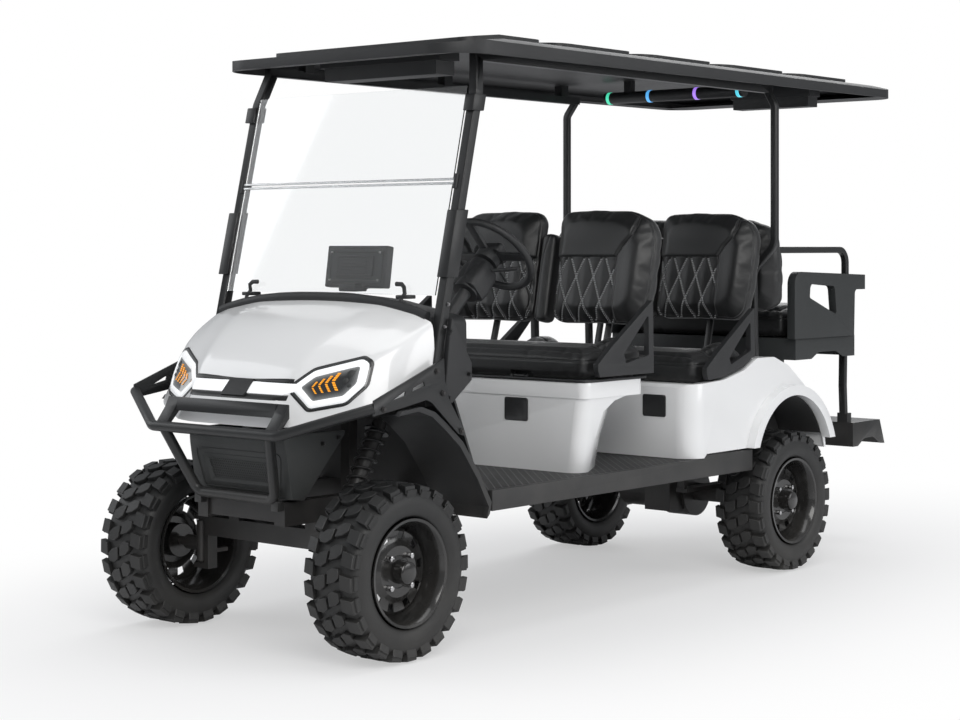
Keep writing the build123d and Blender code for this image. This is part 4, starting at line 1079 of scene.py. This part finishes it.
def swollen(name, outline, near, far, edge, cap, up="z"):
    """A pad: an outline given in two axes, from near to far along the third, swelled as cloth."""
    made = bmesh.new()
    loops = []
    for inset, depth in ((edge, near), (edge * 0.3, near + edge * 0.3), (0, near + edge), (0, far - edge),
                         (edge * 0.3, far - edge * 0.3), (edge, far)):
        line = rounded(inset_corners(outline, inset), [0.120 if len(outline) > 4 else 0.040] * len(outline),
                       arc=6, straight=4)
        loops.append([made.verts.new((p.x, depth, p.y) if up == "z" else (p.x, p.y, depth)) for p in line])
    for k in range(1, len(loops)):
        for j in range(len(loops[k])):
            made.faces.new((loops[k - 1][j - 1], loops[k - 1][j], loops[k][j], loops[k][j - 1]))
    made.faces.new(loops[0])
    made.faces.new(loops[-1])
    pad = new_piece(name, made)
    alone(pad)
    pad.data.remesh_voxel_size = 0.006
    bpy.ops.object.voxel_remesh()
    still = [v.co.copy() for v in pad.data.vertices]
    thick = 1 if up == "z" else 2      # the pad swells along this axis and hardly sideways
    cloth = pad.modifiers.new("swell", "CLOTH")
    cloth.settings.quality = 4
    cloth.settings.mass = 0.3
    cloth.settings.tension_stiffness = 12
    cloth.settings.compression_stiffness = 12
    cloth.settings.bending_stiffness = 2.0
    cloth.settings.use_pressure = True
    cloth.settings.uniform_pressure_force = 4.0
    cloth.settings.effector_weights.gravity = 0
    cloth.collision_settings.use_collision = False
    for step in range(1, 21):
        bpy.context.scene.frame_set(step)
    alone(pad)
    bpy.ops.object.modifier_apply(modifier="swell")
    moves = [v.co - before for v, before in zip(pad.data.vertices, still)]
    drift = sum(moves, Vector((0, 0, 0))) / len(moves)
    for vertex, before, move in zip(pad.data.vertices, still, moves):
        move = move - drift
        move = Vector([m * (1.0 if axis == thick else 0.15) for axis, m in enumerate(move)])
        if move.length > cap:
            move = move * (cap / move.length)
        vertex.co = before + move
    bpy.context.scene.frame_set(1)
    calm = pad.modifiers.new("calm", "SMOOTH")
    calm.factor = 0.5
    calm.iterations = 9
    alone(pad)
    bpy.ops.object.modifier_apply(modifier="calm")
    finer = pad.modifiers.new("finer", "SUBSURF")
    finer.levels = finer.render_levels = 1
    alone(pad)
    bpy.ops.object.modifier_apply(modifier="finer")
    return pad


def ease(value, low, high):
    """0 below low, 1 above high and a smooth step between."""
    t = min(1, max(0, (value - low) / (high - low)))
    return t * t * (3 - 2 * t)


def from_path(x, z, path):
    """Distance of a point from a run of straight lines."""
    best = 9
    for (ax, az), (bx, bz) in zip(path, path[1:]):
        dx, dz = bx - ax, bz - az
        t = min(1, max(0, ((x - ax) * dx + (z - az) * dz) / (dx * dx + dz * dz)))
        best = min(best, ((x - ax - t * dx) ** 2 + (z - az - t * dz) ** 2) ** 0.5)
    return best


def groove(distance, deep, wide):
    return deep * 2.718 ** -((distance / wide) ** 2)


def reshape(piece, depth):
    """Move every vertex in along its normal, by what depth gives for its place and normal."""
    vertices = piece.data.vertices
    ways = [v.normal.copy() for v in vertices]
    spots = [v.co - way * depth(v.co, way) for v, way in zip(vertices, ways)]
    vertices.foreach_set("co", [c for spot in spots for c in spot])
    piece.data.update()


def lighten(piece, ratio):
    """Fewer triangles where the surface is calm."""
    fewer = piece.modifiers.new("fewer", "DECIMATE")
    fewer.ratio = ratio
    alone(piece)
    bpy.ops.object.modifier_apply(modifier="fewer")


# Seat back, drawn with its inner edge at x = 0.042: front at y = 0, foot at z = 0.
BACK_LINE = [(0.048, 0.425), (0.072, 0.459), (0.204, 0.469), (0.395, 0.462), (0.490, 0.425), (0.524, 0.370),
             (0.530, 0.270), (0.525, 0.140), (0.508, 0.040), (0.470, 0.006), (0.090, 0.006), (0.050, 0.030)]
outline = [Vector(p) for p in BACK_LINE]
back = swollen("seat_back_form", outline, 0.010, 0.088, 0.026, 0.026)
QUILT = (0.060, 0.372, -0.02, 0.266)     # x, x, z, z
COLUMN = 0.0855
LEAN = 0.4388
FOLD = [(0.372, -0.02), (0.376, 0.150), (0.372, 0.272), (0.398, 0.312), (0.436, 0.352), (0.446, 0.392),
        (0.438, 0.452)]


def back_folds(spot, way):
    """Quilt, seams, folds and bolster of a seat back."""
    x, y, z = spot
    front = ease(-way.y, 0.15, 0.6)
    side = 1 - ease(abs(way.y), 0.55, 0.9)
    push = 0.0
    if front > 0:
        quilt = ease(QUILT[1] - x, -0.004, 0.012) * ease(x - QUILT[0], -0.002, 0.006)
        quilt *= ease(QUILT[3] - z, -0.001, 0.005)
        push += 0.009 * ease(QUILT[1] - x, -0.012, 0.014) * ease(QUILT[3] - z, -0.010, 0.010)
        first = (x - 0.094 - LEAN * (z - 0.188)) / COLUMN
        second = (x - 0.094 + LEAN * (z - 0.188)) / COLUMN
        for phase in (first, second):
            away = abs(phase - round(phase)) * COLUMN * 0.916
            push += quilt * groove(away, 0.0042, 0.0042)
        push -= quilt * 0.0028 * (sin(pi * first) * sin(pi * second)) ** 2
        top_seam = groove(abs(z - QUILT[3]), 0.0045, 0.0034) * ease(QUILT[1] + 0.002 - x, 0, 0.01)
        push += top_seam * ease(x - 0.052, 0, 0.01)
        push += groove(abs(x - QUILT[0]), 0.0035, 0.0032) * ease(QUILT[3] - z, -0.004, 0.004)
        reach = from_path(x, z, FOLD)
        push += groove(reach, 0.0050 + 0.0070 * ease(z, 0.20, 0.33) * (1 - ease(z, 0.39, 0.46)), 0.0065)
        swell = 2.718 ** -(((x - 0.455) / 0.050) ** 2 + ((z - 0.190) / 0.170) ** 2)
        push -= 0.013 * swell
        push -= 0.008 * 2.718 ** -(((x - 0.24) / 0.17) ** 2 + ((z - 0.365) / 0.062) ** 2)
        push *= front
    push += side * groove(abs(y - 0.026), 0.0032, 0.0034)
    return push


reshape(back, back_folds)
lighten(back, 0.42)
back_skin = BVHTree.FromPolygons([v.co for v in back.data.vertices],
                                 [p.vertices[:] for p in back.data.polygons])


def stitches(name, skin_tree, runs, way, length=0.0052, gap=0.0026, size=0.00125):
    """Short raised threads along runs of points, laid on a surface that is met along way."""
    made = bmesh.new()
    for start, stop in runs:
        start, stop = Vector(start), Vector(stop)
        count = int((stop - start).length / (length + gap))
        for k in range(count):
            ends = []
            for t in (k * (length + gap), k * (length + gap) + length):
                spot = start.lerp(stop, t / (stop - start).length)
                place, normal, *_ = skin_tree.ray_cast(spot - Vector(way) * 0.2, Vector(way))
                if place is None:
                    break
                ends.append((place, normal if normal.dot(Vector(way)) < 0 else -normal))
            if len(ends) < 2 or (ends[0][0] - ends[1][0]).length > length * 2:
                continue
            (a, out), (b, _) = ends
            along = (b - a).normalized()
            across = along.cross(out).normalized()
            rings = []
            for t, wide in ((0, 0.35), (0.22, 1), (0.78, 1), (1, 0.35)):
                middle = a.lerp(b, t) + out * size * (1.1 * wide)
                rings.append([made.verts.new(middle + across * size * wide * cos(q)
                                             + out * size * wide * sin(q))
                              for q in (0, pi / 2, pi, -pi / 2)])
            for one, two in zip(rings, rings[1:]):
                for j in range(4):
                    made.faces.new((one[j - 1], one[j], two[j], two[j - 1]))
            made.faces.new(rings[0])
            made.faces.new(rings[-1])
    return new_piece(name, made)


def clipped(x_start, slope, low, high):
    """The part of a slanted line that lies in the quilted field."""
    points = []
    for k in range(121):
        z = low + (high - low) * k / 120
        x = x_start + slope * (z - 0.188)
        if QUILT[0] + 0.004 < x < QUILT[1] - 0.006:
            points.append((x, 0.03, z))
    return points


runs = []
for slope in (LEAN, -LEAN):
    for column in range(-3, 8):
        points = clipped(0.094 + COLUMN * column, slope, 0.004, QUILT[3] - 0.004)
        if len(points) < 8:
            continue
        for shift in (-0.0030, 0.0030):
            runs.append(((points[0][0] + shift, 0.03, points[0][2]),
                         (points[-1][0] + shift, 0.03, points[-1][2])))
sewing = stitches("back_sewing", back_skin, runs, (0, 1, 0))
seam_runs = [((0.064, 0.03, 0.2725), (0.362, 0.03, 0.2725))]
plain_sewing = stitches("seam_sewing", back_skin, seam_runs, (0, 1, 0), 0.0035, 0.0022, 0.0005)


def placed(name, master, matrix, body, material, replaces=None):
    """A copy of a form with its own mesh, moved to its place."""
    piece = bpy.data.objects.new(name, master.data.copy())
    bpy.context.collection.objects.link(piece)
    piece.data.transform(matrix)
    if matrix.determinant() < 0:
        piece.data.flip_normals()
    slot = "upholstery"
    finish(piece, body, slot, material, smooth=60)
    if replaces:
        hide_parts(replaces)
    return piece


flip = Matrix.Scale(-1, 4, (1, 0, 0))
ROW_PITCH = 0.724
BACK_LEAN = Matrix.Rotation(radians(-11), 4, "X")
for row, label in enumerate(("front", "middle")):
    seat = Matrix.Translation((0, 1.432 - AXLE + ROW_PITCH * row, 1.062 - 0.002 * row)) @ BACK_LEAN
    for side, hand in (("left", Matrix()), ("right", flip)):
        placed("seat_back_%s_%s" % (label, side), back, seat @ hand, "root", vinyl)
        placed("quilt_stitches_%s_%s" % (label, side), sewing, seat @ hand, "root", thread)
        placed("seam_stitches_%s_%s" % (label, side), plain_sewing, seat @ hand, "root", vinyl)
# the rear seat's backs face the other way and are a little lower
turn = Matrix.Rotation(pi, 4, "Z")
squat = Matrix.Diagonal((0.988, 1.05, 0.866, 1))
seat = Matrix.Translation((0, 2.560 - AXLE, 1.095)) @ Matrix.Rotation(radians(9), 4, "X")
shift = Matrix.Translation((-0.022, 0, 0))
for side, hand in (("right", Matrix()), ("left", flip)):
    for kind, master, material, fill in (("rear_seat_back_", back, vinyl, 0.8),
                                         ("rear_quilt_stitches_", sewing, thread, None)):
        placed(kind + side, master, seat @ turn @ hand @ shift @ squat, "root", material)
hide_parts("rear_seat_backs")

# narrow pad between the two backs of a row, with a slanted seam
outline = [Vector(p) for p in [(-0.034, 0.368), (0.034, 0.368), (0.034, 0.006), (-0.034, 0.006)]]
pad = swollen("centre_pad_form", outline, 0.012, 0.086, 0.014, 0.010)


def pad_seam(spot, way):
    """The slanted seam of the narrow pad."""
    x, y, z = spot
    away = from_path(x, z, [(0.010, 0.37), (-0.012, 0.28), (-0.016, 0.10), (-0.016, 0.0)])
    return groove(away, 0.0030, 0.0032) * ease(-way.y, 0.1, 0.5)


reshape(pad, pad_seam)
lighten(pad, 0.5)
for row, label in enumerate(("front", "middle")):
    seat = Matrix.Translation((0, 1.432 - AXLE + ROW_PITCH * row, 1.062 - 0.002 * row)) @ BACK_LEAN
    placed("centre_pad_" + label, pad, seat, "root", vinyl)
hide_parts("seat_backs")

# Seat cushion: x across, y = 0 at the front edge, z = 0 at the base.
outline = [Vector(p) for p in [(-0.530, 0.386), (0.530, 0.386), (0.530, 0.006), (-0.530, 0.006)]]
cushion = swollen("cushion_form", outline, 0.003, 0.092, 0.026, 0.024, up="y")


def dress_cushion(piece, wide, deep, tall, lumps, hinge_y):
    """Folds, seams and channels of a cushion, and its flat base with two hinge pockets."""
    def folds(spot, way):
        x, y, z = spot
        top = ease(way.z, 0.25, 0.7)
        side = 1 - ease(abs(way.z), 0.5, 0.85)
        push = side * groove(abs(z - tall * 0.70), 0.0034, 0.0034)
        if top > 0:
            border = min(wide - abs(x), y, deep - y)
            push += top * groove(abs(border - 0.040), 0.0026, 0.0036)
            inside = ease(border, 0.045, 0.060)
            for line in (0.34, 0.50, 0.66):
                push += top * inside * groove(abs(y - deep * line), 0.0034, 0.0050)
            push -= top * inside * 0.003
            if lumps:
                lump = ((abs(x) - 0.470) / 0.052) ** 2 + ((y - 0.292) / 0.105) ** 2
                push -= top * 0.030 * 2.718 ** -(lump ** 1.6)
                push += top * groove(abs(lump ** 0.5 - 1.25), 0.0045, 0.10)
        return push

    reshape(piece, folds)
    spots = []
    for vertex in piece.data.vertices:
        x, y, z = vertex.co
        z = max(z, 0.0008)
        if abs(abs(x) - 0.220) < 0.052 and abs(y - hinge_y) < 0.034 and z < 0.026:
            z = 0.026
        spots += [x, y, z]
    piece.data.vertices.foreach_set("co", spots)
    piece.data.update()


rear_form = bpy.data.objects.new("rear_cushion_form", cushion.data.copy())
bpy.context.collection.objects.link(rear_form)
rear_form.data.transform(Matrix.Diagonal((0.856 / 1.07, 0.465 / 0.39, 0.123 / 0.106, 1)))
dress_cushion(cushion, 0.535, 0.390, 0.100, True, 0.006)
dress_cushion(rear_form, 0.428, 0.465, 0.118, False, -0.050)
lighten(cushion, 0.30)
lighten(rear_form, 0.30)
cushion_skin = BVHTree.FromPolygons([v.co for v in cushion.data.vertices],
                                    [p.vertices[:] for p in cushion.data.polygons])
edge_sewing = stitches("edge_sewing", cushion_skin, [((-0.470, 0.05, 0.077), (0.470, 0.05, 0.077))],
                       (0, 1, 0),
                       0.0040, 0.0030, 0.00055)
for row, label, body in ((0, "front", "front_seat"), (1, "middle", "middle_seat")):
    seat = Matrix.Translation((0, 1.050 - AXLE + ROW_PITCH * row, 0.868 - 0.048 * row))
    placed("%s_cushion" % label, cushion, seat, body, vinyl, "%s_seat_cushion" % label)
    placed("%s_cushion_stitches" % label, edge_sewing, seat, body, grey_moulded)
seat = Matrix.Translation((0, 3.090 - AXLE, 0.971)) @ turn
placed("rear_cushion", rear_form, seat, "rear_seat", vinyl, "rear_seat_cushion")
for form in (back, sewing, plain_sewing, pad, cushion, rear_form, edge_sewing):
    bpy.data.objects.remove(form)

# hinge barrels on their leaves, below the front edge of each cushion
for label, body, y, z, way in (("front", "front_seat", 1.056, 0.873, 1),
                               ("middle", "middle_seat", 1.780, 0.825, 1),
                               ("rear", "rear_seat", 3.143, 0.971, -1)):
    made = bmesh.new()
    for x in (-0.220, 0.220):
        centre = Vector((x, y - AXLE, z))
        bmesh.ops.create_cone(made, cap_ends=True, segments=20, radius1=0.0060, radius2=0.0060, depth=0.050,
                              matrix=Matrix.Translation(centre) @ Matrix.Rotation(pi / 2, 4, "Y"))
        reach = 0.020 if way > 0 else 0.062
        bmesh.ops.create_cube(made, size=1,
                              matrix=Matrix.Translation(centre + Vector((0, way * reach / 2, 0)))
                              @ Matrix.Diagonal((0.050, reach, 0.004, 1)))
    finish(new_piece(label + "_seat_hinge", made), body, "black_metal", powder, smooth=30)
# ---------------------------------------------------------------- steering wheel, display, lamps
# The wheel keeps its CAD ring and spokes and gets a hub pad, spoke inserts and a column shroud.
# The display shows its back through the windshield, so that side has the detail.
soften("steering_wheel", "steering_wheel", "black_plastic", moulded, 0.003, 3)
soften("display", "root", "black_plastic", moulded, 0.006, 3)


def raised(name, corners, radius, levels, matrix):
    """A plate with round corners in local x and y; levels are (inset, height) along local z."""
    made = bmesh.new()
    loops = []
    for inset, height in levels:
        line = rounded(inset_corners(corners, inset), [max(0.001, radius - inset)] * len(corners), arc=5,
                       straight=3)
        loops.append([made.verts.new(matrix @ Vector((p.x, p.y, height))) for p in line])
    for k in range(1, len(loops)):
        for j in range(len(loops[k])):
            made.faces.new((loops[k - 1][j - 1], loops[k - 1][j], loops[k][j], loops[k][j - 1]))
    made.faces.new(loops[0])
    made.faces.new(loops[-1])
    return new_piece(name, made)


def oblong(wide, tall, x=0.0, y=0.0):
    return [Vector((x - wide / 2, y + tall / 2)), Vector((x + wide / 2, y + tall / 2)),
            Vector((x + wide / 2, y - tall / 2)), Vector((x - wide / 2, y - tall / 2))]


shaft = Vector((0, 0.7254, 0.6884))
wheel_turn = shaft.to_track_quat("Z", "Y").to_matrix().to_4x4()
hub_place = Matrix.Translation((0.300, 0.785 - AXLE, 1.336)) @ wheel_turn
pad_corners = [Vector(p) for p in ((-0.066, 0.040), (0.066, 0.040), (0.052, -0.044), (-0.052, -0.044))]
finish(raised("hub_pad", pad_corners, 0.020, [(0.004, -0.010), (0, -0.002), (0, 0.021), (0.004, 0.027),
                                              (0.016, 0.031), (0.018, 0.029)], hub_place),
       "steering_wheel", "black_plastic", moulded, smooth=40)
for angle in (0, 180, 270):
    slot_place = hub_place @ Matrix.Rotation(radians(angle), 4, "Z")
    finish(raised("spoke_slot_%d" % angle, oblong(0.052, 0.012, 0.112), 0.005,
                  [(0, -0.006), (0, -0.0035), (0.002, -0.0030)], slot_place),
           "steering_wheel", "steel", grey_moulded, smooth=30)
shroud_place = hub_place @ Matrix.Translation((0, -0.006, -0.200))
finish(raised("column_shroud", oblong(0.118, 0.108), 0.030,
              [(0.016, 0.004), (0.006, 0.010), (0, 0.040), (0.004, 0.110),
               (0.012, 0.132), (0.020, 0.134)], shroud_place),
       "root", "black_plastic", moulded, smooth=45)

# display: its leaned face at the back, then ribs, screws and the lit face towards the driver
lean = Matrix.Translation((0.068, 0.330 - AXLE, 1.292)) @ Matrix.Rotation(radians(-8), 4, "X")
back_face = lean @ Matrix.Translation((0, -0.017, 0)) @ Matrix.Rotation(pi / 2, 4, "X")
finish(raised("display_back_frame", oblong(0.262, 0.122), 0.010,
              [(0, -0.002), (0, 0.003), (0.002, 0.005), (0.010, 0.005),
               (0.012, 0.002)], back_face),
       "root", "grey_plastic", grey_moulded, smooth=35)
finish(raised("display_back_cover", oblong(0.180, 0.078), 0.008,
              [(0, 0.000), (0, 0.008), (0.002, 0.010), (0.008, 0.010),
               (0.010, 0.008)], back_face),
       "root", "black_plastic", moulded, smooth=35)
for k in range(5):
    finish(raised("display_rib_%d" % k, oblong(0.120, 0.0045, 0, 0.024 - 0.012 * k), 0.002,
                  [(0, 0.006), (0, 0.0115), (0.001, 0.0122)], back_face), "root", "grey_plastic",
           grey_moulded, smooth=30)
corners_at = [(x, z) for x in (-0.118, 0.118) for z in (-0.050, 0.050)]
bolts("display_screws", "root", [(tuple(back_face @ Vector((x, z, 0.004))),
                                  tuple((back_face.to_3x3() @ Vector((0, 0, 1)))))
                                 for x, z in corners_at], 0.0032, bare_steel)
lit = new_material("lit_panel", (0.010, 0.014, 0.022), 0.12, Coat_Weight=0.8)
nodes = lit.node_tree
place = add_node(nodes, "TexCoord")
sweep = add_node(nodes, "TexNoise", ("Vector", place.outputs["Object"]), Scale=9.0, Detail=1.0)
tint = add_node(nodes, "MixRGB", ("Fac", sweep.outputs["Fac"]), Color1=(0.004, 0.010, 0.022, 1),
                Color2=(0.020, 0.055, 0.090, 1))
nodes.links.new(tint.outputs[0], nodes.nodes["Principled BSDF"].inputs["Base Color"])
nodes.links.new(tint.outputs[0], nodes.nodes["Principled BSDF"].inputs["Emission Color"])
nodes.nodes["Principled BSDF"].inputs["Emission Strength"].default_value = 0.5
front_face = lean @ Matrix.Translation((0, 0.017, 0)) @ Matrix.Rotation(-pi / 2, 4, "X")
finish(raised("display_screen", oblong(0.268, 0.126), 0.006, [(0, -0.002), (0, 0.0008), (0.001, 0.0012)],
              front_face),
       "root", "screen", lit, smooth=30)

# speaker bar: lit rings round the tube
for number, (x, low, high) in enumerate([(-0.345, (0.05, 0.55, 0.30), (0.10, 0.85, 0.55)),
                                         (-0.125, (0.05, 0.30, 0.75), (0.15, 0.55, 1.0)),
                                         (0.125, (0.25, 0.12, 0.75), (0.55, 0.30, 1.0)),
                                         (0.345, (0.05, 0.45, 0.60), (0.15, 0.80, 0.95))]):
    ring = spin_section("speaker_ring_%d" % number,
                        [(-0.009, 0.0255), (-0.007, 0.0275), (0.007, 0.0275), (0.009, 0.0255),
                         (0.006, 0.0245), (-0.006, 0.0245)], 48)
    ring.location = (x, 2.406 - AXLE, 2.036)
    finish(ring, "root", "lamp_lens", glowing("ring_glow_%d" % number, low, high, 0.9, 40.0), smooth=40)

# tail lamps: fluted red lenses
tail_red = glowing("tail_red", (0.30, 0.004, 0.004), (0.50, 0.010, 0.008), 0.18, 60.0)
soften("tail_lamps", "root", "red_lens", tail_red, 0.006, 3)
